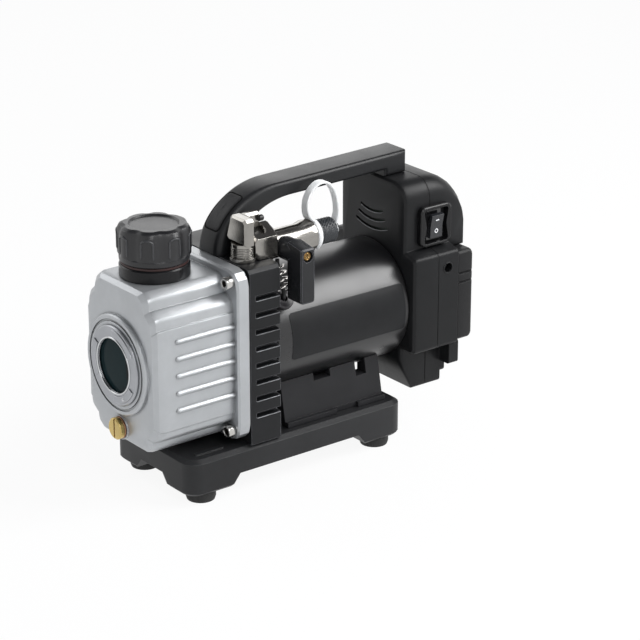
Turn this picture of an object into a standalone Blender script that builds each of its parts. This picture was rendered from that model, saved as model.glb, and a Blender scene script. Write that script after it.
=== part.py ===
"""A cordless vacuum pump for refrigeration service, as an assembly of separate pieces.

X runs along the shaft from the oil case to the battery, the inlet valve is on the -Y side,
and the pump stands on the plane z = 0. All sizes are in metres.
"""
import math

import bmesh
import bpy
from mathutils import Matrix, Vector

# Clearances
SEAT_GAP = 0.0003
RUNNING_GAP = 0.0003
PUMP_CLEARANCE = 0.0005

# Base and feet
BASE_LENGTH = 0.205
BASE_WIDTH = 0.104
BASE_HEIGHT = 0.0285
BASE_CORNER = 0.012
BASE_BEVEL_DROP = 0.0026
BASE_BEVEL_INSET = 0.004
BASE_FLOOR = 0.0045
LEG_LENGTH = 0.038
LEG_WIDTH = 0.030
ARCH_HEIGHT = 0.0095
ARCH_SLOPE = 0.0076
POCKET_RIB = 0.008
FOOT_DIAMETER = 0.023
FOOT_HEIGHT = 0.008
PAD_LENGTH = 0.026
PAD_WIDTH = 0.004
PAD_HEIGHT = 0.0012

# Shaft line and what is stacked along it
CASE_LIFT = 0.0075
SHAFT_RADIUS = 0.005
MOTOR_FRONT = -0.018
MOTOR_RADIUS = 0.048
MOTOR_LENGTH = 0.128
MOTOR_WALL = 0.0025
PLATE_THICKNESS = 0.0276
PLATE_INSET = 0.0005
PLATE_RISE = 0.0697
PLATE_RIM = 0.005
FIN_COUNT = 8
FIN_MARGIN = 0.0165
FIN_GROOVE = 0.004
FIN_DEPTH = 0.005
GASKET_THICKNESS = 0.001
BEARING_RADIUS = 0.0127
BEARING_WIDTH = 0.009

# Oil case
FLANGE_THICKNESS = 0.010
FLANGE_OVERHANG = 0.0005
FLANGE_DROP = 0.0653
FLANGE_CORNER = 0.012
CASE_DEPTH = 0.071
FLANGE_LIP = 0.006
CASE_RISE = 0.0644
CASE_DROP = 0.0630
CASE_WALL = 0.0045
CASE_NOSE = 0.008
TERRACE_COUNT = 2
TERRACE_RUN = 0.0085
TERRACE_RISE = 0.0133
TERRACE_FALL = 0.0105
TERRACE_CREASE = 0.0013
RIB_COUNT = 5
RIB_PITCH = 0.0136
RIB_LENGTH = 0.0545
RIB_HEIGHT = 0.0038
RIB_PROUD = 0.0022
SCREW_HEAD_RADIUS = 0.005
SCREW_HEAD_HEIGHT = 0.006
SCREW_RADIUS = 0.003
SCREW_BITE = 0.012
SCREW_INSET = 0.0085
WINDOW_RADIUS = 0.021
GLASS_RADIUS = 0.024
GLASS_THICKNESS = 0.005
FACE_BOSS_RADIUS = 0.039
FACE_BOSS_HEIGHT = 0.0032
RING_RADIUS = 0.031
RING_PROUD = 0.002
DRAIN_DROP = 0.0505
DRAIN_HEAD_RADIUS = 0.0085
DRAIN_HEAD_HEIGHT = 0.0040
DRAIN_SHANK_RADIUS = 0.006
DRAIN_SHANK_LENGTH = 0.010
WASHER_THICKNESS = 0.0010
DRAIN_PAD_HEIGHT = 0.0008

# Filler and oil cap
FILLER_SETBACK = 0.0335
COLLAR_RADIUS = 0.0265
COLLAR_HEIGHT = 0.0094
NECK_RADIUS = 0.0165
NECK_HEIGHT = 0.012
NECK_BORE = 0.011
SEAL_THICKNESS = 0.0016
SEAL_SETBACK = 0.0012
CAP_RADIUS = 0.0275
CAP_HEIGHT = 0.0275
CAP_LOBES = 8
CAP_LOBE_DEPTH = 0.0022
CAP_WALL = 0.0085

# Pump unit inside the oil case
CYLINDER_RADIUS = 0.034
CYLINDER_LENGTH = 0.050
CYLINDER_OFFSET = 0.004
ROTOR_RADIUS = 0.0215
VANE_THICKNESS = 0.0024
VANE_DEPTH = 0.012
COVER_THICKNESS = 0.003

# Motor inside
MAGNET_THICKNESS = 0.0065
MAGNET_START = 0.030
MAGNET_LENGTH = 0.060
ARMATURE_LENGTH = 0.054
ARMATURE_SLOTS = 12
FAN_START = 0.096
FAN_WIDTH = 0.014
FAN_RADIUS = 0.040
FAN_BLADES = 9
END_CAP_THICKNESS = 0.006
END_CAP_SETBACK = 0.006

# Saddle
SADDLE_FRONT = 0.013
SADDLE_LENGTH = 0.095
SADDLE_FOOT_HALF = 0.043
SADDLE_FOOT_HEIGHT = 0.004
SADDLE_HALF_WIDTH = 0.039
SADDLE_TOP_HALF = 0.033
SADDLE_INNER_HALF = 0.024
SADDLE_FLOOR = 0.0035
SADDLE_WINDOW_LENGTH = 0.010

# Handle
HANDLE_WIDTH = 0.0273
HANDLE_RISE = 0.0183
HANDLE_FALL = 0.0049
HANDLE_BAR = 0.0128
HANDLE_SETBACK = 0.0019
HANDLE_LEG = 0.032
HANDLE_OUTER_RADIUS = 0.046
HANDLE_INNER_RADIUS = 0.022
HANDLE_REAR_INSET = 0.0016
HANDLE_HEEL = 0.021
VALVE_RELIEF = 0.001

# Rear housing
SHELL_WALL = 0.003
FRONT_SHELL_DEPTH = 0.0249
REAR_SHELL_DEPTH = 0.0357
HOUSING_HALF_WIDTH = 0.0525
HOUSING_DROP = 0.0364
SHOULDER_RISE = 0.0427
SHOULDER_SLOPE = 0.0035
HOOD_HALF_WIDTH = 0.040
HOOD_HEIGHT = 0.0545
HOOD_CORNER = 0.015
HOOD_REAR_RADIUS = 0.031
CHIN_HALF_WIDTH = 0.0375
CHIN_DROP = 0.0354
CHIN_CUT_DEPTH = 0.0122
CHIN_CUT_HEIGHT = 0.0225
CHIN_STEP_DEPTHS = (0.0154, 0.0206)
CHIN_STEP_HEIGHTS = (0.008, 0.018)
LEDGE_DEPTH = 0.0040
AIR_HOLE_RADIUS = 0.040
LOUVRE_RADII = (0.033, 0.040, 0.047)
LOUVRE_WIDTH = 0.0022
LOUVRE_HALF_ANGLE = 24
BOSS_SETBACK = 0.0092
BOSS_DROP = 0.0125
BOSS_RADIUS = 0.0075
BOSS_BORE = 0.0045
BOSS_DEPTH = 0.012

# Battery pack
BATTERY_DEPTH = 0.0154
BATTERY_LEDGE = 0.0023
BATTERY_DROP = 0.0016
BATTERY_GRIP_DROPS = (0.0182, 0.0258)
BATTERY_GRIP_WIDTH = 0.002
BATTERY_GRIP_DEPTH = 0.0016
BUTTON_WIDTH = 0.024
BUTTON_HEIGHT = 0.010
BUTTON_DEPTH = 0.007
BUTTON_PROUD = -0.0004
TERMINAL_WIDTH = 0.040
TERMINAL_HEIGHT = 0.022
TERMINAL_DEPTH = 0.012

# Switch
SWITCH_OFFSET = 0.0033
GUARD_LIFT = 0.00195
GUARD_WIDTH = 0.031
GUARD_HEIGHT = 0.0325
GUARD_PROUD = 0.0048
GUARD_RIM = 0.003
GUARD_PINCH = 0.0035
SWITCH_WIDTH = 0.0144
SWITCH_HEIGHT = 0.0240
SWITCH_DEPTH = 0.018
SWITCH_PROUD = 0.0009
ROCKER_WIDTH = 0.0118
ROCKER_HEIGHT = 0.0200
ROCKER_THICKNESS = 0.0030
ROCKER_TILT = 8

# Inlet and valve
INLET_SETBACK = 0.0106
INLET_Y = -0.0285
NIPPLE_RADIUS = 0.0090
NIPPLE_FLANGE = 0.0105
NIPPLE_SPIGOT = 0.0067
NIPPLE_SPIGOT_DEPTH = 0.008
NIPPLE_BORE = 0.004
NIPPLE_HEIGHT = 0.0135
ELBOW_LENGTH = 0.022
ELBOW_WIDTH = 0.021
ELBOW_HEIGHT = 0.0205
ELBOW_OFFSET = 0.0043
ELBOW_CHAMFER = 0.0025
VALVE_SHIFT = 0.0065
VALVE_LIFT = 0.0037
LEVER_SETBACK = 0.0183
HEX_FLATS = 0.024
HEX_REACH = 0.0172
HEX_LENGTH = 0.0076
BODY_RADIUS = 0.011
BODY_REACH = 0.0255
LINK_RADIUS = 0.0062
LINK_DROP = 0.0045
COLLAR_REACH = 0.0310
VALVE_COLLAR_RADIUS = 0.0125
VALVE_NECK_RADIUS = 0.0085
VALVE_NECK_REACH = 0.0372
NOSE_RADIUS = 0.0075
NOSE_REACH = 0.0495
FLOW_RADIUS = 0.004
STEM_PLUG_RADIUS = 0.0072
STEM_RADIUS = 0.004
STEM_REACH = 0.008
LEVER_BOSS_RADIUS = 0.009
LEVER_BOSS_LENGTH = 0.0106
LEVER_DEPTH = 0.018
LEVER_HALF_WIDTH = 0.0065
LEVER_DROP = 0.037
LEVER_RISE = 0.0085
LEVER_TOP_FALL = 0.0025
LEVER_SCREW_RADIUS = 0.0042
FLARE_CAP_RADIUS = 0.0102
FLARE_CAP_LENGTH = 0.0158
FLARE_CAP_RIDGES = 18
FLARE_CAP_RIDGE = 0.0006
STUD_RADIUS = 0.003
STUD_LENGTH = 0.003
STUD_HEAD_RADIUS = 0.0045
STUD_HEAD_LENGTH = 0.0012
STRAP_THICKNESS = 0.0018
STRAP_WIDTH = 0.0062
STRAP_RING_WIDTH = 0.0042
STRAP_RING_WALL = 0.0032
STRAP_EYE_WALL = 0.0024
STRAP_LOOP_HEIGHT = 0.0405
STRAP_BULGE = 0.011

# Lead, spring guard and grommet between motor and valve
LEAD_OFFSET = 0.0038
LEAD_Y = -0.035
LEAD_RADIUS = 0.0017
LEAD_END_Y = -0.0285
LEAD_REACH = 0.007
GROMMET_RADIUS = 0.0085
GROMMET_HEIGHT = 0.0026
GROMMET_BORE = 0.0030
SPRING_TURNS = 5
SPRING_POINTS = 10
SPRING_WIRE = 0.0007
SPRING_BOTTOM_RADIUS = 0.0049
SPRING_TOP_RADIUS = 0.0034

# Control board
BOARD_WIDTH = 0.060
BOARD_HEIGHT = 0.030
BOARD_THICKNESS = 0.006

# Places worked out from the sizes above
BASE_BOTTOM = FOOT_HEIGHT + SEAT_GAP
BASE_TOP = BASE_BOTTOM + BASE_HEIGHT
SHAFT_HEIGHT = BASE_TOP + CASE_LIFT + CASE_DROP
PLATE_HALF_WIDTH = BASE_WIDTH / 2 - PLATE_INSET
PLATE_TOP = SHAFT_HEIGHT + PLATE_RISE
FLANGE_HALF_WIDTH = PLATE_HALF_WIDTH + FLANGE_OVERHANG
FLANGE_RISE = PLATE_RISE
CASE_HALF_WIDTH = FLANGE_HALF_WIDTH - FLANGE_LIP
MOTOR_REAR = MOTOR_FRONT + MOTOR_LENGTH
PLATE_REAR = MOTOR_FRONT - SEAT_GAP
PLATE_FRONT = PLATE_REAR - PLATE_THICKNESS
GASKET_FRONT = PLATE_FRONT - SEAT_GAP - GASKET_THICKNESS
FLANGE_REAR = GASKET_FRONT - SEAT_GAP
FLANGE_FRONT = FLANGE_REAR - FLANGE_THICKNESS
CASE_FRONT = FLANGE_FRONT - CASE_DEPTH
CASE_TOP = SHAFT_HEIGHT + CASE_RISE
FLANGE_MIDDLE = SHAFT_HEIGHT + (FLANGE_RISE - FLANGE_DROP) / 2
FLANGE_HALF_HEIGHT = (FLANGE_RISE + FLANGE_DROP) / 2
FACE_FRONT = CASE_FRONT - FACE_BOSS_HEIGHT
FILLER_X = CASE_FRONT + FILLER_SETBACK
HANDLE_FRONT = PLATE_FRONT + HANDLE_SETBACK
HOUSING_FRONT = MOTOR_REAR + SEAT_GAP
HOUSING_BOTTOM = SHAFT_HEIGHT - HOUSING_DROP
CHIN_BOTTOM = HOUSING_BOTTOM - CHIN_DROP
SHOULDER_OUTER = SHAFT_HEIGHT + SHOULDER_RISE
SHOULDER_INNER = SHOULDER_OUTER + SHOULDER_SLOPE
HOOD_TOP = SHOULDER_INNER + HOOD_HEIGHT
HANDLE_TOP = HOOD_TOP + HANDLE_RISE
SPLIT_FRONT = HOUSING_FRONT + FRONT_SHELL_DEPTH
SPLIT_REAR = SPLIT_FRONT + SEAT_GAP
HOUSING_REAR = SPLIT_REAR + REAR_SHELL_DEPTH
BATTERY_FRONT = HOUSING_REAR - BATTERY_DEPTH
DOCK_FACE = BATTERY_FRONT - SEAT_GAP
BATTERY_BOTTOM = HOUSING_BOTTOM + BATTERY_LEDGE
BATTERY_TOP = SHOULDER_OUTER - BATTERY_DROP - SEAT_GAP
HOOD_BOTTOM = BATTERY_TOP + SEAT_GAP
GUARD_BACK = -HOOD_HALF_WIDTH - SEAT_GAP
SWITCH_FACE = GUARD_BACK - SWITCH_PROUD
SWITCH_X = SPLIT_FRONT + SWITCH_OFFSET
SWITCH_Z = SHOULDER_INNER + GUARD_LIFT + GUARD_HEIGHT / 2
INLET_X = PLATE_FRONT + INLET_SETBACK
ELBOW_X = INLET_X + ELBOW_OFFSET
VALVE_Y = INLET_Y + VALVE_SHIFT
VALVE_Z = PLATE_TOP + VALVE_LIFT
VALVE_PIVOT_X = PLATE_REAR + LEVER_SETBACK
HEX_START = VALVE_PIVOT_X - HEX_REACH
BODY_END = VALVE_PIVOT_X + BODY_REACH
COLLAR_END = VALVE_PIVOT_X + COLLAR_REACH
VALVE_NECK_END = VALVE_PIVOT_X + VALVE_NECK_REACH
NOSE_END = VALVE_PIVOT_X + NOSE_REACH
LEAD_X = VALVE_PIVOT_X - LEAD_OFFSET
ELBOW_BOTTOM = PLATE_TOP + SEAT_GAP + NIPPLE_HEIGHT + SEAT_GAP
LEVER_BACK = VALVE_Y - BODY_RADIUS - RUNNING_GAP
LEVER_FACE = LEVER_BACK - LEVER_BOSS_LENGTH - LEVER_DEPTH
RING_FRONT = FACE_FRONT - RING_PROUD
DRAIN_SEAT = CASE_FRONT - DRAIN_PAD_HEIGHT
DRAIN_FRONT = DRAIN_SEAT - SEAT_GAP - WASHER_THICKNESS - SEAT_GAP - DRAIN_HEAD_HEIGHT
FRONT_END = min(RING_FRONT, DRAIN_FRONT)
CENTRE_X = (FRONT_END + HOUSING_REAR) / 2
CENTRE_Y = (LEVER_FACE + HOUSING_HALF_WIDTH) / 2

# Finishes: colour, roughness, metallic
FINISHES = {
    "black_plastic": ((0.022, 0.023, 0.026), 0.48, 0.0),
    "gloss_black": ((0.012, 0.012, 0.013), 0.25, 0.0),
    "motor_paint": ((0.028, 0.029, 0.032), 0.36, 0.0),
    "rubber": ((0.016, 0.016, 0.016), 0.75, 0.0),
    "cast_aluminium": ((0.60, 0.61, 0.63), 0.42, 1.0),
    "chrome": ((0.72, 0.71, 0.68), 0.16, 1.0),
    "steel": ((0.45, 0.45, 0.46), 0.32, 1.0),
    "dark_steel": ((0.08, 0.08, 0.085), 0.40, 1.0),
    "brass": ((0.72, 0.48, 0.16), 0.30, 1.0),
    "copper": ((0.70, 0.33, 0.17), 0.35, 1.0),
    "white_strap": ((0.86, 0.87, 0.86), 0.40, 0.0),
    "red_seal": ((0.30, 0.03, 0.03), 0.55, 0.0),
    "gasket_paper": ((0.14, 0.15, 0.15), 0.80, 0.0),
    "magnet": ((0.10, 0.10, 0.11), 0.55, 0.0),
    "glass": ((0.55, 0.60, 0.58), 0.05, 0.0),
    "board_green": ((0.04, 0.16, 0.08), 0.50, 0.0),
}

for old_object in list(bpy.data.objects):
    bpy.data.objects.remove(old_object, do_unlink=True)

pump_frame = bpy.data.objects.new("pump_frame", None)
bpy.context.scene.collection.objects.link(pump_frame)
pump_frame.location = (-CENTRE_X, -CENTRE_Y, 0.0)


# Outlines and skins

def circle(radius, count=32, centre=(0.0, 0.0)):
    """Points of a circle in its own plane."""
    points = []
    for index in range(count):
        angle = 2 * math.pi * index / count
        points.append((centre[0] + radius * math.cos(angle), centre[1] + radius * math.sin(angle)))
    return points


def fillet(corners, steps=3):
    """Polygon whose corners (u, v, radius) are rounded by arcs that fit their edges."""
    points = []
    for index, (u, v, radius) in enumerate(corners):
        here = Vector((u, v))
        if radius == 0:
            points.append((u, v))
            continue
        before = Vector(corners[index - 1][:2]) - here
        after = Vector(corners[(index + 1) % len(corners)][:2]) - here
        half_angle = before.angle(after) / 2
        if half_angle > math.radians(89):
            for step in range(steps + 1):
                slide = radius * (1 - 2 * step / steps)
                points.append(tuple(here + before.normalized() * slide))
            continue
        reach = min(radius / math.tan(half_angle), 0.48 * before.length, 0.48 * after.length)
        fitted = reach * math.tan(half_angle)
        middle = (before.normalized() + after.normalized()).normalized()
        centre = here + middle * (fitted / math.sin(half_angle))
        start = here + before.normalized() * reach - centre
        end = here + after.normalized() * reach - centre
        sweep = start.angle(end)
        if start.x * end.y - start.y * end.x < 0:
            sweep = -sweep
        for step in range(steps + 1):
            turned_start = Matrix.Rotation(sweep * step / steps, 2) @ start
            points.append(tuple(centre + turned_start))
    return points


def rectangle(half_u, half_v, radius=0.0, centre=(0.0, 0.0), steps=3):
    """Rectangle with equal rounded corners."""
    u, v = centre
    corners = [
        (u - half_u, v - half_v, radius),
        (u + half_u, v - half_v, radius),
        (u + half_u, v + half_v, radius),
        (u - half_u, v + half_v, radius),
    ]
    return fillet(corners, steps)


def station(axis, position, outline):
    """Ring of points: an outline stood square to an axis at one position along it."""
    if axis == "X":
        return [Vector((position, u, v)) for u, v in outline]
    if axis == "Y":
        return [Vector((u, position, v)) for u, v in outline]
    return [Vector((u, v, position)) for u, v in outline]


def loft(rings, closed=False):
    """Skin equal rings into one closed body; closed joins the last ring to the first."""
    body = bmesh.new()
    loops = [[body.verts.new(point) for point in ring] for ring in rings]
    pairs = list(zip(loops, loops[1:]))
    if closed:
        pairs.append((loops[-1], loops[0]))
    for lower, upper in pairs:
        for index in range(len(lower)):
            following = (index + 1) % len(lower)
            body.faces.new((lower[index], lower[following], upper[following], upper[index]))
    if not closed:
        body.faces.new(list(reversed(loops[0])))
        body.faces.new(loops[-1])
    bmesh.ops.recalc_face_normals(body, faces=body.faces)
    return body


def prism(axis, start, end, outline):
    """Straight extrusion of an outline."""
    return loft([station(axis, start, outline), station(axis, end, outline)])


def turned(axis, profile, centre=(0.0, 0.0), count=32, closed=False):
    """Turned body from (position, radius) pairs; closed profiles leave a bore."""
    rings = [station(axis, position, circle(radius, count, centre)) for position, radius in profile]
    return loft(rings, closed)


def box(low, high):
    """Plain block between two corners."""
    outline = [(low[0], low[1]), (high[0], low[1]), (high[0], high[1]), (low[0], high[1])]
    return prism("Z", low[2], high[2], outline)


def join(bodies):
    """One mesh that holds several separate bodies, for a cutter."""
    whole = bmesh.new()
    for body in bodies:
        scratch = bpy.data.meshes.new("scratch")
        body.to_mesh(scratch)
        body.free()
        whole.from_mesh(scratch)
        bpy.data.meshes.remove(scratch)
    return whole


# Objects, materials and cuts

def finish_material(name, finish):
    """Principled material of one piece."""
    colour, roughness, metallic = FINISHES[finish]
    material = bpy.data.materials.new(name)
    material.use_nodes = True
    shader = material.node_tree.nodes["Principled BSDF"]
    shader.inputs["Base Color"].default_value = (*colour, 1.0)
    shader.inputs["Roughness"].default_value = roughness
    shader.inputs["Metallic"].default_value = metallic
    return material


def add_object(name, body, pivot=(0.0, 0.0, 0.0)):
    """Object under the pump's frame, its origin on the pivot."""
    bmesh.ops.translate(body, vec=-Vector(pivot), verts=body.verts)
    mesh = bpy.data.meshes.new(name)
    body.to_mesh(mesh)
    body.free()
    made = bpy.data.objects.new(name, mesh)
    bpy.context.scene.collection.objects.link(made)
    made.parent = pump_frame
    made.location = pivot
    return made


def piece(name, body, finish, pivot=(0.0, 0.0, 0.0), sharp=32):
    """Named sub-part with its own material and smooth shading between sharp edges."""
    made = add_object(name, body, pivot)
    made.data.materials.append(finish_material(name, finish))
    made.data.shade_smooth()
    made.data.set_sharp_from_angle(angle=math.radians(sharp))
    return made


def combine(target, operation, label, body):
    """Boolean of a hidden helper body with a piece."""
    helper = add_object(target.name + "_" + label, body)
    helper.hide_render = True
    helper.display_type = "WIRE"
    change = target.modifiers.new(label, "BOOLEAN")
    change.operation = operation
    change.solver = "EXACT"
    change.object = helper


def cut(target, label, body):
    """Take a body out of a piece."""
    combine(target, "DIFFERENCE", label, body)


def fuse(target, label, body):
    """Grow a body onto a piece."""
    combine(target, "UNION", label, body)


# Base, feet and saddle

def build_base():
    half_length = BASE_LENGTH / 2
    half_width = BASE_WIDTH / 2
    below = BASE_BOTTOM - 0.001
    arch_top = BASE_BOTTOM + ARCH_HEIGHT
    shell = BASE_CORNER / 6

    def outline(inset):
        return rectangle(half_length - inset, half_width - inset, BASE_CORNER - inset, steps=4)

    rings = [
        station("Z", BASE_BOTTOM, outline(shell)),
        station("Z", BASE_BOTTOM + shell, outline(0.0)),
        station("Z", BASE_TOP - BASE_BEVEL_DROP, outline(0.0)),
        station("Z", BASE_TOP, outline(BASE_BEVEL_INSET)),
    ]
    base = piece("base_plate", loft(rings), "black_plastic")

    def arch(half_span):
        foot = half_span + ARCH_SLOPE * 0.001 / ARCH_HEIGHT
        return [
            (-foot, below),
            (foot, below),
            (half_span - ARCH_SLOPE, arch_top),
            (ARCH_SLOPE - half_span, arch_top),
        ]

    cut(base, "long_arch", prism("Y", -BASE_WIDTH, BASE_WIDTH, arch(half_length - LEG_LENGTH)))
    cut(base, "end_arch", prism("X", -BASE_LENGTH, BASE_LENGTH, arch(half_width - LEG_WIDTH)))
    pocket_half = (half_length - LEG_LENGTH - ARCH_SLOPE - POCKET_RIB) / 2
    pockets = []
    for side in (-1, 1):
        outline_here = rectangle(pocket_half, half_width - 2 * BASE_FLOOR, BASE_CORNER / 2,
                                 (side * (pocket_half + POCKET_RIB / 2), 0.0))
        pockets.append(prism("Z", below, BASE_TOP - BASE_FLOOR, outline_here))
    cut(base, "pockets", join(pockets))
    pads = []
    for side in (-1, 1):
        middle = (-half_length + BASE_CORNER + PAD_LENGTH / 2, side * (half_width - BASE_CORNER))
        strip = rectangle(PAD_LENGTH / 2, PAD_WIDTH / 2, PAD_WIDTH / 3, middle)
        pads.append(prism("Z", BASE_TOP - PAD_HEIGHT, BASE_TOP + PAD_HEIGHT, strip))
    fuse(base, "pads", join(pads))

    foot_x = half_length - LEG_LENGTH / 2
    foot_y = half_width - FOOT_DIAMETER / 2 - BASE_CORNER / 4
    radius = FOOT_DIAMETER / 2
    names = {(-1, -1): "front_left", (-1, 1): "front_right", (1, -1): "rear_left", (1, 1): "rear_right"}
    for (along, across), corner in names.items():
        profile = [(0.0, radius * 0.93), (FOOT_HEIGHT * 0.3, radius), (FOOT_HEIGHT, radius)]
        body = turned("Z", profile, (along * foot_x, across * foot_y), 28)
        piece("rubber_foot_" + corner, body, "rubber")


def build_saddle():
    start = MOTOR_FRONT + SADDLE_FRONT
    end = start + SADDLE_LENGTH
    bottom = BASE_TOP + SEAT_GAP
    cradle = MOTOR_RADIUS + SEAT_GAP
    reach = math.asin(SADDLE_TOP_HALF / cradle)
    outline = [
        (-SADDLE_FOOT_HALF, bottom),
        (SADDLE_FOOT_HALF, bottom),
        (SADDLE_FOOT_HALF, bottom + SADDLE_FOOT_HEIGHT),
        (SADDLE_HALF_WIDTH, bottom + SADDLE_FOOT_HEIGHT),
    ]
    steps = 10
    for index in range(steps + 1):
        angle = reach - 2 * reach * index / steps
        outline.append((cradle * math.sin(angle), SHAFT_HEIGHT - cradle * math.cos(angle)))
    outline.append((-SADDLE_HALF_WIDTH, bottom + SADDLE_FOOT_HEIGHT))
    outline.append((-SADDLE_FOOT_HALF, bottom + SADDLE_FOOT_HEIGHT))
    saddle = piece("motor_saddle", prism("X", start, end, outline), "black_plastic")

    wall = SADDLE_FOOT_HALF - SADDLE_INNER_HALF
    low = (start + wall, -SADDLE_INNER_HALF, bottom + SADDLE_FLOOR)
    cut(saddle, "hollow", box(low, (end + wall, SADDLE_INNER_HALF, SHAFT_HEIGHT)))
    foot_gap = box((start + 0.50 * SADDLE_LENGTH, -BASE_WIDTH, bottom - 0.001),
                   (start + 0.72 * SADDLE_LENGTH, -SADDLE_HALF_WIDTH - 0.001, bottom + 0.5 * wall))
    far_gap = box((start + 0.50 * SADDLE_LENGTH, SADDLE_HALF_WIDTH + 0.001, bottom - 0.001),
                  (start + 0.72 * SADDLE_LENGTH, BASE_WIDTH, bottom + 0.5 * wall))
    window_start = end - 2.3 * SADDLE_WINDOW_LENGTH
    window_floor = SHAFT_HEIGHT - MOTOR_RADIUS + 0.0005
    window = box((window_start, -BASE_WIDTH, window_floor),
                 (window_start + SADDLE_WINDOW_LENGTH, BASE_WIDTH, SHAFT_HEIGHT))
    notch_floor = window_floor + 0.006
    notch = box((start + 0.33 * SADDLE_LENGTH, -BASE_WIDTH, notch_floor),
                (start + 0.50 * SADDLE_LENGTH, BASE_WIDTH, SHAFT_HEIGHT))
    cut(saddle, "gaps", join([foot_gap, far_gap, window, notch]))


# Finned centre plate, gasket and bearings

def build_centre_plate():
    bottom = BASE_TOP + SEAT_GAP
    pitch = (PLATE_TOP - bottom - 2 * FIN_MARGIN) / FIN_COUNT

    def outline(depth):
        side = []
        for index in range(FIN_COUNT):
            middle = bottom + FIN_MARGIN + (index + 0.5) * pitch
            low = middle - FIN_GROOVE / 2
            high = middle + FIN_GROOVE / 2
            taper = FIN_GROOVE / 6
            side.append((PLATE_HALF_WIDTH, low))
            side.append((PLATE_HALF_WIDTH - depth, low + taper))
            side.append((PLATE_HALF_WIDTH - depth, high - taper))
            side.append((PLATE_HALF_WIDTH, high))
        near_corner = (PLATE_HALF_WIDTH, bottom)
        crown = fillet([(0.0, bottom, 0), (PLATE_HALF_WIDTH, bottom, 0),
                        (PLATE_HALF_WIDTH, PLATE_TOP, FLANGE_CORNER / 2), (0.0, PLATE_TOP, 0)])
        right = [near_corner] + side + crown[2:-1]
        left = [(-u, v) for u, v in reversed(right)]
        return right + left

    rim = PLATE_FRONT + PLATE_RIM
    rings = [
        station("X", PLATE_FRONT, outline(0.0)),
        station("X", rim, outline(0.0)),
        station("X", rim + SEAT_GAP, outline(FIN_DEPTH)),
        station("X", PLATE_REAR, outline(FIN_DEPTH)),
    ]
    plate = piece("centre_plate", loft(rings), "black_plastic")
    seat = PLATE_REAR - BEARING_WIDTH
    axis = (0.0, SHAFT_HEIGHT)
    bore = [(PLATE_FRONT - 0.001, SHAFT_RADIUS + 3 * RUNNING_GAP), (seat, SHAFT_RADIUS + 3 * RUNNING_GAP),
            (seat, BEARING_RADIUS + SEAT_GAP), (PLATE_REAR + 0.001, BEARING_RADIUS + SEAT_GAP)]
    cut(plate, "shaft_bore", turned("X", bore, axis, 28))
    inlet = turned("Z", [(PLATE_TOP - NIPPLE_SPIGOT_DEPTH - SEAT_GAP, NIPPLE_SPIGOT + SEAT_GAP),
                         (PLATE_TOP + 0.001, NIPPLE_SPIGOT + SEAT_GAP)], (INLET_X, INLET_Y), 20)
    cut(plate, "inlet_bore", inlet)
    holes = []
    for y, z in screw_places():
        profile = [(PLATE_FRONT - 0.001, SCREW_RADIUS + SEAT_GAP),
                   (PLATE_FRONT + SCREW_BITE + SEAT_GAP, SCREW_RADIUS + SEAT_GAP)]
        holes.append(turned("X", profile, (y, z), 12))
    cut(plate, "screw_holes", join(holes))

    def ring(name, start, end):
        profile = [(start, SHAFT_RADIUS + RUNNING_GAP), (end, SHAFT_RADIUS + RUNNING_GAP),
                   (end, BEARING_RADIUS), (start, BEARING_RADIUS)]
        piece(name, turned("X", profile, axis, 28, closed=True), "steel")

    ring("front_bearing", seat + SEAT_GAP, PLATE_REAR - SEAT_GAP)
    rear_seat = MOTOR_REAR - END_CAP_SETBACK - END_CAP_THICKNESS
    ring("rear_bearing", rear_seat, rear_seat + END_CAP_THICKNESS)


def screw_places():
    """Centres of the four case screws, as (y, z)."""
    half_y = FLANGE_HALF_WIDTH - SCREW_INSET
    half_z = FLANGE_HALF_HEIGHT - SCREW_INSET
    return [(y, FLANGE_MIDDLE + z) for y in (-half_y, half_y) for z in (-half_z, half_z)]


# Oil case with its window, drain and filler

def terraced_corner(half_width, height, rise, rounding):
    """Corner that climbs from the side to the top in bulging bands with a crease under each."""
    corner = []
    for index in range(TERRACE_COUNT):
        u = half_width - index * TERRACE_RUN
        v = height - (TERRACE_COUNT - index) * rise
        corner.append((u, v, rounding))
        corner.append((u - TERRACE_CREASE, v + TERRACE_CREASE / 2, 0))
        corner.append((u - TERRACE_CREASE - 0.1 * TERRACE_RUN, v + 0.6 * rise, 2.5 * rounding))
    corner.append((half_width - TERRACE_COUNT * TERRACE_RUN, height, rounding))
    return corner


def case_outline(inset, rounding=0.002):
    """Case section: a rectangle whose long corners are terraced."""
    half_width = CASE_HALF_WIDTH - inset
    upper = terraced_corner(half_width, CASE_RISE - inset, TERRACE_RISE, rounding)
    lower = terraced_corner(half_width, CASE_DROP - inset, TERRACE_FALL, rounding)
    left_top = [(-u, v, r) for u, v, r in reversed(upper)]
    left_bottom = [(-u, -v, r) for u, v, r in lower]
    right_bottom = [(u, -v, r) for u, v, r in reversed(lower)]
    points = fillet(upper + left_top + left_bottom + right_bottom, 2)
    return [(u, v + SHAFT_HEIGHT) for u, v in points]


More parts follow.
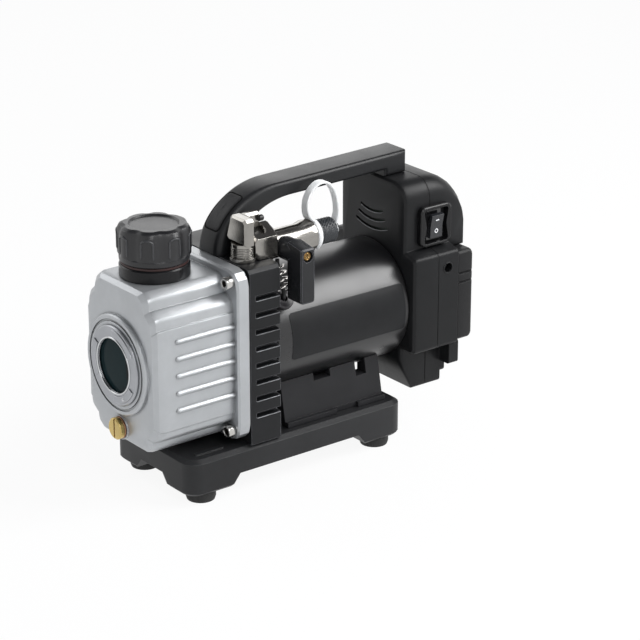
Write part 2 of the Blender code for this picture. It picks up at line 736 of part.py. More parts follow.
def build_oil_case():
    axis = (0.0, SHAFT_HEIGHT)
    rings = []
    for share in (0.0, 0.35, 0.7, 1.0):
        angle = share * math.pi / 2
        inset = CASE_NOSE * (1 - math.sin(angle))
        rings.append(station("X", CASE_FRONT + CASE_NOSE * (1 - math.cos(angle)), case_outline(inset)))
    rings.append(station("X", FLANGE_FRONT + FLANGE_THICKNESS / 2, case_outline(0.0)))
    case = piece("oil_case", loft(rings), "cast_aluminium", sharp=40)

    edge = 0.0015
    flange_axis = (0.0, FLANGE_MIDDLE)
    flange_rings = []
    for position, inset in ((FLANGE_FRONT, edge), (FLANGE_FRONT + edge, 0.0), (FLANGE_REAR, 0.0)):
        outline = rectangle(FLANGE_HALF_WIDTH - inset, FLANGE_HALF_HEIGHT - inset, FLANGE_CORNER, flange_axis)
        flange_rings.append(station("X", position, outline))
    fuse(case, "flange", loft(flange_rings))

    ribs = []
    rib_end = FLANGE_FRONT + FLANGE_THICKNESS / 4
    for side in (-1, 1):
        for index in range(RIB_COUNT):
            z = SHAFT_HEIGHT + (index - (RIB_COUNT - 1) / 2) * RIB_PITCH
            rings = []
            for depth, inset in ((-RIB_PROUD, 0.0), (RIB_PROUD * 0.4, 0.0), (RIB_PROUD, RIB_PROUD * 0.6)):
                outline = rectangle(RIB_LENGTH / 2 - inset, RIB_HEIGHT / 2 - inset, RIB_HEIGHT / 2 - inset,
                                    (rib_end - RIB_LENGTH / 2, z))
                rings.append(station("Y", side * (CASE_HALF_WIDTH + depth), outline))
            ribs.append(loft(rings))
    fuse(case, "ribs", join(ribs))

    face = [(CASE_FRONT + CASE_WALL / 2, FACE_BOSS_RADIUS), (FACE_FRONT + 0.001, FACE_BOSS_RADIUS),
            (FACE_FRONT, FACE_BOSS_RADIUS - 0.001)]
    fuse(case, "face_boss", turned("X", face, axis, 40))
    drain_z = SHAFT_HEIGHT - DRAIN_DROP
    pad = [(CASE_FRONT + CASE_WALL, DRAIN_HEAD_RADIUS + 0.002), (DRAIN_SEAT, DRAIN_HEAD_RADIUS + 0.001)]
    fuse(case, "drain_pad", turned("X", pad, (0.0, drain_z), 24))

    inside = CASE_FRONT + CASE_WALL + CASE_NOSE
    cavity = prism("X", inside, FLANGE_REAR + 0.001, case_outline(CASE_WALL))
    cut(case, "cavity", cavity)
    seat = FACE_FRONT + GLASS_THICKNESS + SEAT_GAP
    window = [(FACE_FRONT - 0.001, GLASS_RADIUS + SEAT_GAP), (seat, GLASS_RADIUS + SEAT_GAP),
              (seat, WINDOW_RADIUS), (inside + 0.001, WINDOW_RADIUS)]
    cut(case, "window", turned("X", window, axis, 36))
    groove_outer = FACE_BOSS_RADIUS - 0.0035
    groove_inner = FACE_BOSS_RADIUS - 0.0055
    groove_floor = FACE_FRONT + 0.0012
    groove = [(FACE_FRONT - 0.001, groove_outer), (groove_floor, groove_outer),
              (groove_floor, groove_inner), (FACE_FRONT - 0.001, groove_inner)]
    cut(case, "face_groove", turned("X", groove, axis, 40, closed=True))
    filler = [(CASE_TOP - 2 * CASE_WALL, NECK_BORE), (CASE_TOP + 0.001, NECK_BORE)]
    cut(case, "filler_bore", turned("Z", filler, (FILLER_X, 0.0), 28))
    drain = [(CASE_FRONT - 0.002, DRAIN_SHANK_RADIUS + RUNNING_GAP),
             (inside + 0.001, DRAIN_SHANK_RADIUS + RUNNING_GAP)]
    cut(case, "drain_bore", turned("X", drain, (0.0, drain_z), 20))
    holes = []
    for y, z in screw_places():
        profile = [(FLANGE_FRONT - 0.001, SCREW_RADIUS + SEAT_GAP),
                   (FLANGE_REAR + 0.001, SCREW_RADIUS + SEAT_GAP)]
        holes.append(turned("X", profile, (y, z), 12))
    cut(case, "screw_holes", join(holes))

    gasket_outline = rectangle(FLANGE_HALF_WIDTH - 0.001, FLANGE_HALF_HEIGHT - 0.001,
                               FLANGE_CORNER, flange_axis)
    gasket = piece("case_gasket", prism("X", GASKET_FRONT, GASKET_FRONT + GASKET_THICKNESS, gasket_outline),
                   "gasket_paper")
    cut(gasket, "opening", prism("X", GASKET_FRONT - 0.001, PLATE_FRONT, case_outline(CASE_WALL)))
    gasket_holes = []
    for y, z in screw_places():
        profile = [(GASKET_FRONT - 0.001, SCREW_RADIUS + SEAT_GAP), (PLATE_FRONT, SCREW_RADIUS + SEAT_GAP)]
        gasket_holes.append(turned("X", profile, (y, z), 12))
    cut(gasket, "screw_holes", join(gasket_holes))

    names = ("lower_left", "upper_left", "lower_right", "upper_right")
    for name, place in zip(names, screw_places()):
        seat_face = FLANGE_FRONT - SEAT_GAP
        profile = [(seat_face - SCREW_HEAD_HEIGHT, SCREW_HEAD_RADIUS * 0.92),
                   (seat_face - SCREW_HEAD_HEIGHT + 0.0006, SCREW_HEAD_RADIUS),
                   (seat_face, SCREW_HEAD_RADIUS), (seat_face, SCREW_RADIUS),
                   (PLATE_FRONT + SCREW_BITE, SCREW_RADIUS)]
        piece("case_screw_" + name, turned("X", profile, place, 16), "steel")

    glass_front = FACE_FRONT + SEAT_GAP
    glass = [(glass_front, GLASS_RADIUS - 0.0006), (glass_front + 0.0006, GLASS_RADIUS),
             (FACE_FRONT + GLASS_THICKNESS, GLASS_RADIUS)]
    piece("sight_glass", turned("X", glass, axis, 36), "glass")
    ring_back = FACE_FRONT - SEAT_GAP / 2
    ring = [(ring_back, RING_RADIUS), (RING_FRONT + 0.0008, RING_RADIUS), (RING_FRONT, RING_RADIUS - 0.0008),
            (RING_FRONT, WINDOW_RADIUS + 0.001), (RING_FRONT + 0.001, WINDOW_RADIUS),
            (ring_back, WINDOW_RADIUS)]
    piece("sight_glass_ring", turned("X", ring, axis, 40, closed=True), "cast_aluminium")

    washer_back = DRAIN_SEAT - SEAT_GAP
    washer_front = washer_back - WASHER_THICKNESS
    washer = [(washer_front, DRAIN_SHANK_RADIUS + RUNNING_GAP),
              (washer_back, DRAIN_SHANK_RADIUS + RUNNING_GAP),
              (washer_back, DRAIN_HEAD_RADIUS), (washer_front, DRAIN_HEAD_RADIUS)]
    drain_axis = (0.0, drain_z)
    pivot = (CASE_FRONT, 0.0, drain_z)
    piece("drain_washer", turned("X", washer, drain_axis, 24, closed=True), "copper", pivot)
    head_back = washer_front - SEAT_GAP
    head_front = head_back - DRAIN_HEAD_HEIGHT
    plug = [(head_front, DRAIN_HEAD_RADIUS - 0.0012), (head_front + 0.0010, DRAIN_HEAD_RADIUS),
            (head_back, DRAIN_HEAD_RADIUS), (head_back, DRAIN_SHANK_RADIUS),
            (CASE_FRONT + DRAIN_SHANK_LENGTH, DRAIN_SHANK_RADIUS)]
    drain_plug = piece("drain_plug", turned("X", plug, drain_axis, 24), "brass", pivot)
    slot_half = 0.0009
    slot_reach = DRAIN_HEAD_RADIUS + 0.001
    cut(drain_plug, "slot", box((head_front - 0.001, -slot_half, drain_z - slot_reach),
                                (head_front + 0.0016, slot_half, drain_z + slot_reach)))


def build_filler():
    place = (FILLER_X, 0.0)
    foot = CASE_TOP + SEAT_GAP
    top = foot + COLLAR_HEIGHT
    collar = [(foot, NECK_BORE), (foot, COLLAR_RADIUS), (top - 0.001, COLLAR_RADIUS),
              (top, COLLAR_RADIUS - 0.001), (top, NECK_RADIUS),
              (top + NECK_HEIGHT, NECK_RADIUS), (top + NECK_HEIGHT, NECK_BORE)]
    piece("filler_collar", turned("Z", collar, place, 32, closed=True), "gloss_black")
    seal_bottom = top + SEAT_GAP
    seal_top = seal_bottom + SEAL_THICKNESS
    inner = NECK_RADIUS + RUNNING_GAP
    rim = COLLAR_RADIUS - SEAL_SETBACK
    seal = [(seal_bottom, inner), (seal_bottom, rim), (seal_top, rim), (seal_top, inner)]
    pivot = (FILLER_X, 0.0, top)
    piece("oil_cap_seal", turned("Z", seal, place, 32, closed=True), "red_seal", pivot)

    bottom = seal_top + SEAT_GAP
    cap_top = bottom + CAP_HEIGHT
    count = CAP_LOBES * 8

    def lobed(radius, depth):
        points = []
        for index in range(count):
            angle = 2 * math.pi * index / count
            dip = depth * (0.5 - 0.5 * math.cos(CAP_LOBES * angle)) ** 2
            points.append((FILLER_X + (radius - dip) * math.cos(angle), (radius - dip) * math.sin(angle)))
        return points

    cavity_top = bottom + NECK_HEIGHT + 0.0035
    cavity = NECK_RADIUS + 2 * RUNNING_GAP
    skirt = CAP_RADIUS - 0.0012
    shoulder = cap_top - 0.0045
    rings = [
        station("Z", cavity_top, circle(cavity, count, place)),
        station("Z", bottom, circle(cavity, count, place)),
        station("Z", bottom, circle(skirt - 0.001, count, place)),
        station("Z", bottom + 0.001, circle(skirt, count, place)),
        station("Z", bottom + 0.0045, circle(skirt, count, place)),
        station("Z", bottom + 0.0050, lobed(CAP_RADIUS, CAP_LOBE_DEPTH)),
        station("Z", shoulder, lobed(CAP_RADIUS, CAP_LOBE_DEPTH)),
        station("Z", cap_top - 0.0015, lobed(CAP_RADIUS - 0.0015, CAP_LOBE_DEPTH)),
        station("Z", cap_top, lobed(CAP_RADIUS - 0.0045, CAP_LOBE_DEPTH)),
        station("Z", cap_top, circle(CAP_RADIUS - CAP_WALL, count, place)),
        station("Z", cap_top - 0.0012, circle(CAP_RADIUS - CAP_WALL - 0.0012, count, place)),
    ]
    piece("oil_cap", loft(rings), "black_plastic", pivot)


# Pump unit and motor

def build_pump_unit():
    axis = (0.0, SHAFT_HEIGHT)
    bore_axis = (0.0, SHAFT_HEIGHT + CYLINDER_OFFSET)
    rear = PLATE_FRONT - SEAT_GAP
    front = rear - CYLINDER_LENGTH
    bore = ROTOR_RADIUS + CYLINDER_OFFSET + PUMP_CLEARANCE
    rings = [
        station("X", front, circle(CYLINDER_RADIUS, 36, axis)),
        station("X", rear, circle(CYLINDER_RADIUS, 36, axis)),
        station("X", rear, circle(bore, 36, bore_axis)),
        station("X", front, circle(bore, 36, bore_axis)),
    ]
    piece("pump_cylinder", loft(rings, closed=True), "steel")
    cover_rear = front - SEAT_GAP
    cover = [(cover_rear - COVER_THICKNESS, CYLINDER_RADIUS), (cover_rear, CYLINDER_RADIUS)]
    piece("cylinder_cover", turned("X", cover, axis, 36), "steel")

    slot_half = VANE_THICKNESS / 2 + RUNNING_GAP
    slot_floor = ROTOR_RADIUS - VANE_DEPTH - 2 * RUNNING_GAP
    start_angle = math.asin(slot_half / ROTOR_RADIUS)
    outline = []
    arc_steps = 16
    for side in (1, -1):
        for index in range(arc_steps + 1):
            share = index / arc_steps
            angle = start_angle + (math.pi - 2 * start_angle) * share
            outline.append((side * -ROTOR_RADIUS * math.sin(angle), side * ROTOR_RADIUS * math.cos(angle)))
        outline.append((side * -slot_half, side * -slot_floor))
        outline.append((side * slot_half, side * -slot_floor))
    outline = [(u, v + SHAFT_HEIGHT) for u, v in outline]
    rotor_front = front + RUNNING_GAP
    rotor_rear = rear - RUNNING_GAP
    pivot = (rotor_front, 0.0, SHAFT_HEIGHT)
    rotor = piece("pump_rotor", prism("X", rotor_front, rotor_rear, outline), "steel", pivot)
    hole = [(rotor_front - 0.001, SHAFT_RADIUS + RUNNING_GAP),
            (rotor_rear + 0.001, SHAFT_RADIUS + RUNNING_GAP)]
    cut(rotor, "bore", turned("X", hole, axis, 24))
    for name, side in (("pump_vane_upper", 1), ("pump_vane_lower", -1)):
        tip = SHAFT_HEIGHT + side * (ROTOR_RADIUS - RUNNING_GAP)
        root = SHAFT_HEIGHT + side * (ROTOR_RADIUS - VANE_DEPTH)
        body = box((rotor_front, -VANE_THICKNESS / 2, min(tip, root)),
                   (rotor_rear, VANE_THICKNESS / 2, max(tip, root)))
        piece(name, body, "dark_steel", pivot)


def build_motor():
    axis = (0.0, SHAFT_HEIGHT)
    inner = MOTOR_RADIUS - MOTOR_WALL
    edge = 0.0012
    can = [(MOTOR_FRONT, inner), (MOTOR_FRONT, MOTOR_RADIUS - edge), (MOTOR_FRONT + edge, MOTOR_RADIUS),
           (MOTOR_REAR - edge, MOTOR_RADIUS), (MOTOR_REAR, MOTOR_RADIUS - edge), (MOTOR_REAR, inner)]
    piece("motor_case", turned("X", can, axis, 56, closed=True), "motor_paint")

    magnet_outer = inner - SEAT_GAP
    magnet_inner = magnet_outer - MAGNET_THICKNESS
    magnet_front = MOTOR_FRONT + MAGNET_START
    magnet_rear = magnet_front + MAGNET_LENGTH
    magnet = [(magnet_front, magnet_inner), (magnet_front, magnet_outer),
              (magnet_rear, magnet_outer), (magnet_rear, magnet_inner)]
    piece("magnet_ring", turned("X", magnet, axis, 36, closed=True), "magnet")

    shaft_front = PLATE_FRONT - SEAT_GAP - CYLINDER_LENGTH + RUNNING_GAP
    shaft_rear = MOTOR_REAR - END_CAP_SETBACK + 0.002
    shaft = [(shaft_front, SHAFT_RADIUS), (shaft_rear, SHAFT_RADIUS)]
    pivot = (MOTOR_FRONT, 0.0, SHAFT_HEIGHT)
    piece("motor_shaft", turned("X", shaft, axis, 24), "steel", pivot)

    armature_radius = magnet_inner - 0.001
    armature_front = magnet_front + (MAGNET_LENGTH - ARMATURE_LENGTH) / 2
    armature_rear = armature_front + ARMATURE_LENGTH
    outline = []
    for index in range(ARMATURE_SLOTS):
        middle = 2 * math.pi * index / ARMATURE_SLOTS
        for offset, radius in ((-0.20, 1.0), (0.0, 1.0), (0.20, 1.0), (0.22, 0.6), (0.30, 0.6)):
            angle = middle + offset
            outline.append((radius * armature_radius * math.cos(angle),
                            SHAFT_HEIGHT + radius * armature_radius * math.sin(angle)))
    armature = piece("motor_armature", prism("X", armature_front, armature_rear, outline), "copper", pivot)
    hole = [(armature_front - 0.001, SHAFT_RADIUS + RUNNING_GAP),
            (armature_rear + 0.001, SHAFT_RADIUS + RUNNING_GAP)]
    cut(armature, "bore", turned("X", hole, axis, 24))

    fan_front = MOTOR_FRONT + FAN_START
    fan_rear = fan_front + FAN_WIDTH
    hub = SHAFT_RADIUS * 2
    outline = []
    for index in range(FAN_BLADES):
        middle = 2 * math.pi * index / FAN_BLADES
        blade = ((-0.28, hub), (-0.12, hub), (0.0, FAN_RADIUS), (0.04, FAN_RADIUS), (0.12, hub))
        for offset, radius in blade:
            angle = middle + offset
            outline.append((radius * math.cos(angle), SHAFT_HEIGHT + radius * math.sin(angle)))
    fan = piece("cooling_fan", prism("X", fan_front, fan_rear, outline), "black_plastic", pivot)
    hole = [(fan_front - 0.001, SHAFT_RADIUS + RUNNING_GAP), (fan_rear + 0.001, SHAFT_RADIUS + RUNNING_GAP)]
    cut(fan, "bore", turned("X", hole, axis, 24))

    cap_front = MOTOR_REAR - END_CAP_SETBACK - END_CAP_THICKNESS
    cap_rear = cap_front + END_CAP_THICKNESS
    seat = BEARING_RADIUS + SEAT_GAP
    end_cap = [(cap_front, seat), (cap_front, magnet_outer), (cap_rear, magnet_outer), (cap_rear, seat)]
    piece("motor_end_cap", turned("X", end_cap, axis, 36, closed=True), "cast_aluminium")


# Carry handle

def build_handle():
    half = HANDLE_WIDTH / 2
    foot = PLATE_TOP + SEAT_GAP
    heel_bottom = HOOD_TOP + SEAT_GAP
    rear = SPLIT_FRONT - HANDLE_REAR_INSET
    heel_front = rear - HANDLE_HEEL
    inner_x = HANDLE_FRONT + HANDLE_LEG

    def outline(inset):
        corners = [
            (HANDLE_FRONT + inset, foot, 0),
            (inner_x - inset, foot, 0),
            (inner_x - inset, HANDLE_TOP - HANDLE_BAR - HANDLE_FALL / 6 + inset, HANDLE_INNER_RADIUS + inset),
            (heel_front + inset, HANDLE_TOP - HANDLE_BAR + inset, 0.002),
            (heel_front + inset, heel_bottom, 0),
            (rear - inset, heel_bottom, 0),
            (rear - inset, HANDLE_TOP - inset, 0.002),
            (HANDLE_FRONT + inset, HANDLE_TOP - HANDLE_FALL - inset, HANDLE_OUTER_RADIUS - inset),
        ]
        return fillet(corners, 8)

    rings = []
    edge = 0.0032
    for position, inset in ((-half, edge), (-half + 0.3 * edge, 0.3 * edge), (-half + edge, 0.0),
                            (half - edge, 0.0), (half - 0.3 * edge, 0.3 * edge), (half, edge)):
        rings.append(station("Y", position, outline(inset)))
    handle = piece("carry_handle", loft(rings), "black_plastic")
    relief_radius = HEX_FLATS / math.sqrt(3) + VALVE_RELIEF
    relief = [(HEX_START - VALVE_RELIEF, relief_radius), (inner_x + VALVE_RELIEF, relief_radius)]
    cut(handle, "valve_relief", turned("X", relief, (VALVE_Y, VALVE_Z), 32))


# Rear housing in two shells

def hood_top_at(x):
    """Height of the housing's crown, which rolls down towards the battery."""
    centre_x = HOUSING_REAR - HOOD_REAR_RADIUS
    over = x - centre_x
    if over <= 0:
        return HOOD_TOP
    drop = HOOD_REAR_RADIUS - math.sqrt(max(HOOD_REAR_RADIUS ** 2 - over ** 2, 0.0))
    return HOOD_TOP - drop


def housing_outline(inset, top, chin=CHIN_BOTTOM, open_below=False):
    """Housing section; open_below keeps the hood alone, over the battery."""
    if open_below:
        floor = HOOD_BOTTOM + inset
        width = HOOD_HALF_WIDTH - inset
        half = [(width * share, floor, 0.0004) for share in (0.60, 0.70, 0.80, 0.90)]
        half.append((width, floor, 0.0015))
    else:
        half = [
            (CHIN_HALF_WIDTH - inset, chin + inset, 0.003),
            (CHIN_HALF_WIDTH - inset, HOUSING_BOTTOM + inset, 0.001),
            (HOUSING_HALF_WIDTH - inset, HOUSING_BOTTOM + inset, 0.004),
            (HOUSING_HALF_WIDTH - inset, SHOULDER_OUTER - inset, 0.004),
            (HOOD_HALF_WIDTH - inset, SHOULDER_INNER - inset, 0.001),
        ]
    half.append((HOOD_HALF_WIDTH - inset, top - inset, HOOD_CORNER))
    other = [(-u, v, r) for u, v, r in reversed(half)]
    return fillet(half + other, 4)


def switch_opening():
    """Block that opens both shells for the switch."""
    half_x = SWITCH_WIDTH / 2 + SEAT_GAP
    half_z = SWITCH_HEIGHT / 2 + SEAT_GAP
    return box((SWITCH_X - half_x, -HOOD_HALF_WIDTH - 0.002, SWITCH_Z - half_z),
               (SWITCH_X + half_x, -HOOD_HALF_WIDTH + 2 * SHELL_WALL, SWITCH_Z + half_z))


def chin_at(x):
    """Height of the chin's underside near the motor, where its front corner is cut away."""
    share = min(max((x - HOUSING_FRONT) / CHIN_CUT_DEPTH, 0.0), 1.0)
    return CHIN_BOTTOM + CHIN_CUT_HEIGHT * (1 - share)


def build_front_shell():
    edge = 0.0045
    rings = []
    for share in (0.0, 0.4, 0.75, 1.0):
        angle = share * math.pi / 2
        x = HOUSING_FRONT + edge * (1 - math.cos(angle))
        rings.append(station("X", x, housing_outline(edge * (1 - math.sin(angle)), HOOD_TOP, chin_at(x))))
    for x in (HOUSING_FRONT + CHIN_CUT_DEPTH, SPLIT_FRONT):
        rings.append(station("X", x, housing_outline(0.0, HOOD_TOP, chin_at(x))))
    shell = piece("rear_housing_front", loft(rings), "black_plastic")
    slant = math.hypot(CHIN_CUT_DEPTH, CHIN_CUT_HEIGHT) / CHIN_CUT_HEIGHT * SHELL_WALL
    hollow = []
    for x in (HOUSING_FRONT + SHELL_WALL, HOUSING_FRONT + slant, HOUSING_FRONT + slant + CHIN_CUT_DEPTH,
              SPLIT_FRONT + 0.001):
        hollow.append(station("X", x, housing_outline(SHELL_WALL, HOOD_TOP, chin_at(x - slant))))
    cut(shell, "hollow", loft(hollow))
    air = [(HOUSING_FRONT - 0.001, AIR_HOLE_RADIUS), (HOUSING_FRONT + 2 * SHELL_WALL, AIR_HOLE_RADIUS)]
    cut(shell, "air_hole", turned("X", air, (0.0, SHAFT_HEIGHT), 40))
    slots = []
    for radius in LOUVRE_RADII:
        inner_arc = []
        outer_arc = []
        for step in range(9):
            angle = math.radians(-90 - LOUVRE_HALF_ANGLE + step * LOUVRE_HALF_ANGLE / 4)
            for arc, size in ((inner_arc, radius), (outer_arc, radius + LOUVRE_WIDTH)):
                arc.append((size * math.cos(angle), HOOD_TOP + 0.004 + size * math.sin(angle)))
        slots.append(prism("X", HOUSING_FRONT - 0.001, HOUSING_FRONT + 2 * SHELL_WALL,
                           outer_arc + list(reversed(inner_arc))))
    cut(shell, "louvres", join(slots))
    cut(shell, "switch_opening", switch_opening())


def build_rear_shell():
    crown_start = HOUSING_REAR - HOOD_REAR_RADIUS
    first_step, second_step = (SPLIT_REAR + depth for depth in CHIN_STEP_DEPTHS)
    first_chin, second_chin = (CHIN_BOTTOM + height for height in CHIN_STEP_HEIGHTS)
    step = SEAT_GAP / 3

    def section(x, chin, open_below=False, inset=0.0):
        return station("X", x, housing_outline(inset, hood_top_at(x), chin, open_below))

    rings = [
        section(SPLIT_REAR, CHIN_BOTTOM),
        section(crown_start, CHIN_BOTTOM),
        section((crown_start + first_step) / 2, CHIN_BOTTOM),
        section(first_step, CHIN_BOTTOM),
        section(first_step + step, first_chin),
        section(DOCK_FACE, first_chin),
        section(DOCK_FACE + step, first_chin, True),
    ]
    hood_depth = HOUSING_REAR - DOCK_FACE - step
    for share in (0.3, 0.55, 0.75, 0.88, 0.95):
        rings.append(section(DOCK_FACE + step + hood_depth * share, first_chin, True))
    rings.append(section(HOUSING_REAR - 0.0003, first_chin, True, 0.0006))
    shell = piece("rear_housing_rear", loft(rings), "black_plastic")
    ledge_half = HOUSING_HALF_WIDTH - 0.003
    ledge = rectangle(ledge_half, (BATTERY_BOTTOM - SEAT_GAP - second_chin) / 2, 0.002,
                      (0.0, (BATTERY_BOTTOM - SEAT_GAP + second_chin) / 2))
    fuse(shell, "ledge", prism("X", second_step - 0.006, DOCK_FACE + LEDGE_DEPTH, ledge))
    hollow = housing_outline(SHELL_WALL, hood_top_at(DOCK_FACE), first_chin)
    hollow_rear = DOCK_FACE - SHELL_WALL
    cut(shell, "hollow", prism("X", SPLIT_REAR - 0.001, hollow_rear, hollow))
    bosses = []
    bores = []
    boss_x = SPLIT_REAR + BOSS_SETBACK
    boss_z = SHOULDER_OUTER - BOSS_DROP
    for side in (-1, 1):
        outer = side * HOUSING_HALF_WIDTH
        bosses.append(turned("Y", [(outer - side * BOSS_DEPTH, BOSS_RADIUS), (outer - side * 0.001, BOSS_RADIUS)],
                             (boss_x, boss_z), 20))
        floor = outer - side * (BOSS_DEPTH - 0.002)
        bores.append(turned("Y", [(outer + side * 0.001, BOSS_BORE), (floor, BOSS_BORE)],
                            (boss_x, boss_z), 20))
    fuse(shell, "screw_bosses", join(bosses))
    cut(shell, "screw_bores", join(bores))
    cut(shell, "switch_opening", switch_opening())
    half_y = TERMINAL_WIDTH / 2 + SEAT_GAP
    half_z = TERMINAL_HEIGHT / 2 + SEAT_GAP
    terminal_z = (BATTERY_BOTTOM + BATTERY_TOP) / 2
    cut(shell, "terminal_opening", box((hollow_rear - 0.002, -half_y, terminal_z - half_z),
                                       (DOCK_FACE + 0.002, half_y, terminal_z + half_z)))

    for name, side in (("housing_screw_left", -1), ("housing_screw_right", 1)):
        outer = side * HOUSING_HALF_WIDTH
        low = outer - side * (BOSS_DEPTH - 0.002 - SEAT_GAP)
        high = low + side * 0.004
        profile = [(low, BOSS_BORE - SEAT_GAP), (high, BOSS_BORE - SEAT_GAP)]
        piece(name, turned("Y", profile, (boss_x, boss_z), 16), "dark_steel")

    low = (DOCK_FACE - TERMINAL_DEPTH, -TERMINAL_WIDTH / 2, terminal_z - TERMINAL_HEIGHT / 2)
    high = (DOCK_FACE, TERMINAL_WIDTH / 2, terminal_z + TERMINAL_HEIGHT / 2)
    piece("battery_terminals", box(low, high), "gloss_black")
    board_front = HOUSING_FRONT + SHELL_WALL + SEAT_GAP
    board_z = SHOULDER_INNER + BOARD_HEIGHT / 2
    piece("control_board", box((board_front, -BOARD_WIDTH / 2, board_z - BOARD_HEIGHT / 2),
                               (board_front + BOARD_THICKNESS, BOARD_WIDTH / 2, board_z + BOARD_HEIGHT / 2)),
          "board_green")


# Battery pack and its release button

def build_battery():
    middle = (0.0, (BATTERY_BOTTOM + BATTERY_TOP) / 2)
    half_height = (BATTERY_TOP - BATTERY_BOTTOM) / 2
    edge = 0.003

    def outline(inset):
        return rectangle(HOUSING_HALF_WIDTH - inset, half_height - inset, 0.004, middle)

    rings = [station("X", BATTERY_FRONT, outline(0.0)), station("X", HOUSING_REAR - edge, outline(0.0)),
             station("X", HOUSING_REAR - 0.3 * edge, outline(0.3 * edge)),
             station("X", HOUSING_REAR, outline(edge))]
    pivot = (BATTERY_FRONT, 0.0, middle[1])
    pack = piece("battery_pack", loft(rings), "black_plastic", pivot)
    grooves = []
    for drop in BATTERY_GRIP_DROPS:
        z = BATTERY_TOP - drop
        for side in (-1, 1):
            inner = side * (HOUSING_HALF_WIDTH - BATTERY_GRIP_DEPTH)
            outer = side * (HOUSING_HALF_WIDTH + 0.002)
            grooves.append(box((BATTERY_FRONT - 0.001, min(inner, outer), z - BATTERY_GRIP_WIDTH / 2),
                               (HOUSING_REAR + 0.001, max(inner, outer), z + BATTERY_GRIP_WIDTH / 2)))
    cut(pack, "grip_grooves", join(grooves))
    button_z = BATTERY_TOP - half_height / 2
    pocket_floor = HOUSING_REAR - BUTTON_DEPTH - 0.0035
    half_y = BUTTON_WIDTH / 2
    half_z = BUTTON_HEIGHT / 2
    pocket = rectangle(half_y + RUNNING_GAP, half_z + RUNNING_GAP, half_z / 2, (0.0, button_z))
    cut(pack, "button_pocket", prism("X", pocket_floor, HOUSING_REAR + 0.001, pocket))
    face = HOUSING_REAR + BUTTON_PROUD
    shape = [station("X", face - BUTTON_DEPTH, rectangle(half_y, half_z, half_z / 2, (0.0, button_z))),
             station("X", face - 0.001, rectangle(half_y, half_z, half_z / 2, (0.0, button_z))),
             station("X", face, rectangle(half_y - 0.001, half_z - 0.001, half_z / 2, (0.0, button_z)))]
    piece("battery_release", loft(shape), "gloss_black", (face, 0.0, button_z))


# Switch: guard, body and rocker

def build_switch():
    half_x = GUARD_WIDTH / 2
    half_z = GUARD_HEIGHT / 2
    centre = (SWITCH_X, SWITCH_Z)
    front = GUARD_BACK - GUARD_PROUD

    def opening(inset):
        points = []
        plain = rectangle(half_x - GUARD_RIM - inset, half_z - GUARD_RIM - inset, 0.004, centre, 6)
        for u, v in densify(plain):
            rise = (v - SWITCH_Z) / (half_z - GUARD_RIM)
            squeeze = 1 - GUARD_PINCH / half_x * (1 - rise * rise)
            points.append((SWITCH_X + (u - SWITCH_X) * squeeze, v))
        return points

    outer = densify(rectangle(half_x, half_z, 0.005, centre, 6))
    outer_front = densify(rectangle(half_x - 0.0008, half_z - 0.0008, 0.005, centre, 6))
    rings = [station("Y", GUARD_BACK, outer), station("Y", front + 0.0008, outer),
             station("Y", front, outer_front),
             station("Y", front, opening(-0.0006)), station("Y", GUARD_BACK, opening(0.0))]
    piece("switch_guard", loft(rings, closed=True), "gloss_black")

    body_half_x = SWITCH_WIDTH / 2
    body_half_z = SWITCH_HEIGHT / 2
    body = prism("Y", SWITCH_FACE, SWITCH_FACE + SWITCH_DEPTH,
                 rectangle(body_half_x, body_half_z, 0.001, centre, 2))
    piece("switch_body", body, "gloss_black")

    half = ROCKER_HEIGHT / 2
    lean = half * math.sin(math.radians(ROCKER_TILT))
    back = -RUNNING_GAP
    profile = [(back, 0.0), (back - lean, half), (back - lean - ROCKER_THICKNESS, half * 0.96),
               (back - lean * 0.4 - ROCKER_THICKNESS, 0.0), (back - lean - ROCKER_THICKNESS, -half * 0.96),
               (back - lean, -half)]
    outline = [(SWITCH_FACE + u, SWITCH_Z + v) for u, v in profile]
    pivot = (SWITCH_X, SWITCH_FACE, SWITCH_Z)
    rocker = piece("switch_rocker", prism("X", SWITCH_X - ROCKER_WIDTH / 2, SWITCH_X + ROCKER_WIDTH / 2, outline),
                   "gloss_black", pivot)
    rocker.rotation_euler = (math.radians(ROCKER_TILT - 1), 0.0, 0.0)


def densify(outline):
    """Add the middle point of each edge, so a shape can bend along straight sides."""
    points = []
    for index, here in enumerate(outline):
        following = outline[(index + 1) % len(outline)]
        points.append(here)
        points.append(((here[0] + following[0]) / 2, (here[1] + following[1]) / 2))
    return points


# Inlet, valve, lever, flare cap and strap

def build_inlet():
    place = (INLET_X, INLET_Y)
    seat = PLATE_TOP + SEAT_GAP
    top = seat + NIPPLE_HEIGHT
    nipple = [(PLATE_TOP - NIPPLE_SPIGOT_DEPTH, NIPPLE_BORE),
              (PLATE_TOP - NIPPLE_SPIGOT_DEPTH, NIPPLE_SPIGOT),
              (seat, NIPPLE_SPIGOT), (seat, NIPPLE_FLANGE), (seat + 0.003, NIPPLE_FLANGE),
              (seat + 0.003, NIPPLE_RADIUS), (top, NIPPLE_RADIUS), (top, NIPPLE_BORE)]
    piece("inlet_nipple", turned("Z", nipple, place, 24, closed=True), "chrome")

    middle = (ELBOW_X, INLET_Y)
    half_x = ELBOW_LENGTH / 2
    half_y = ELBOW_WIDTH / 2

    def outline(inset):
        return rectangle(half_x - inset, half_y - inset, ELBOW_CHAMFER, middle, 1)

    top = ELBOW_BOTTOM + ELBOW_HEIGHT
    rings = [station("Z", ELBOW_BOTTOM, outline(ELBOW_CHAMFER)),
             station("Z", ELBOW_BOTTOM + ELBOW_CHAMFER, outline(0.0)),
             station("Z", top - 0.0012, outline(0.0)), station("Z", top, outline(0.0012))]
    piece("inlet_elbow", loft(rings), "chrome")


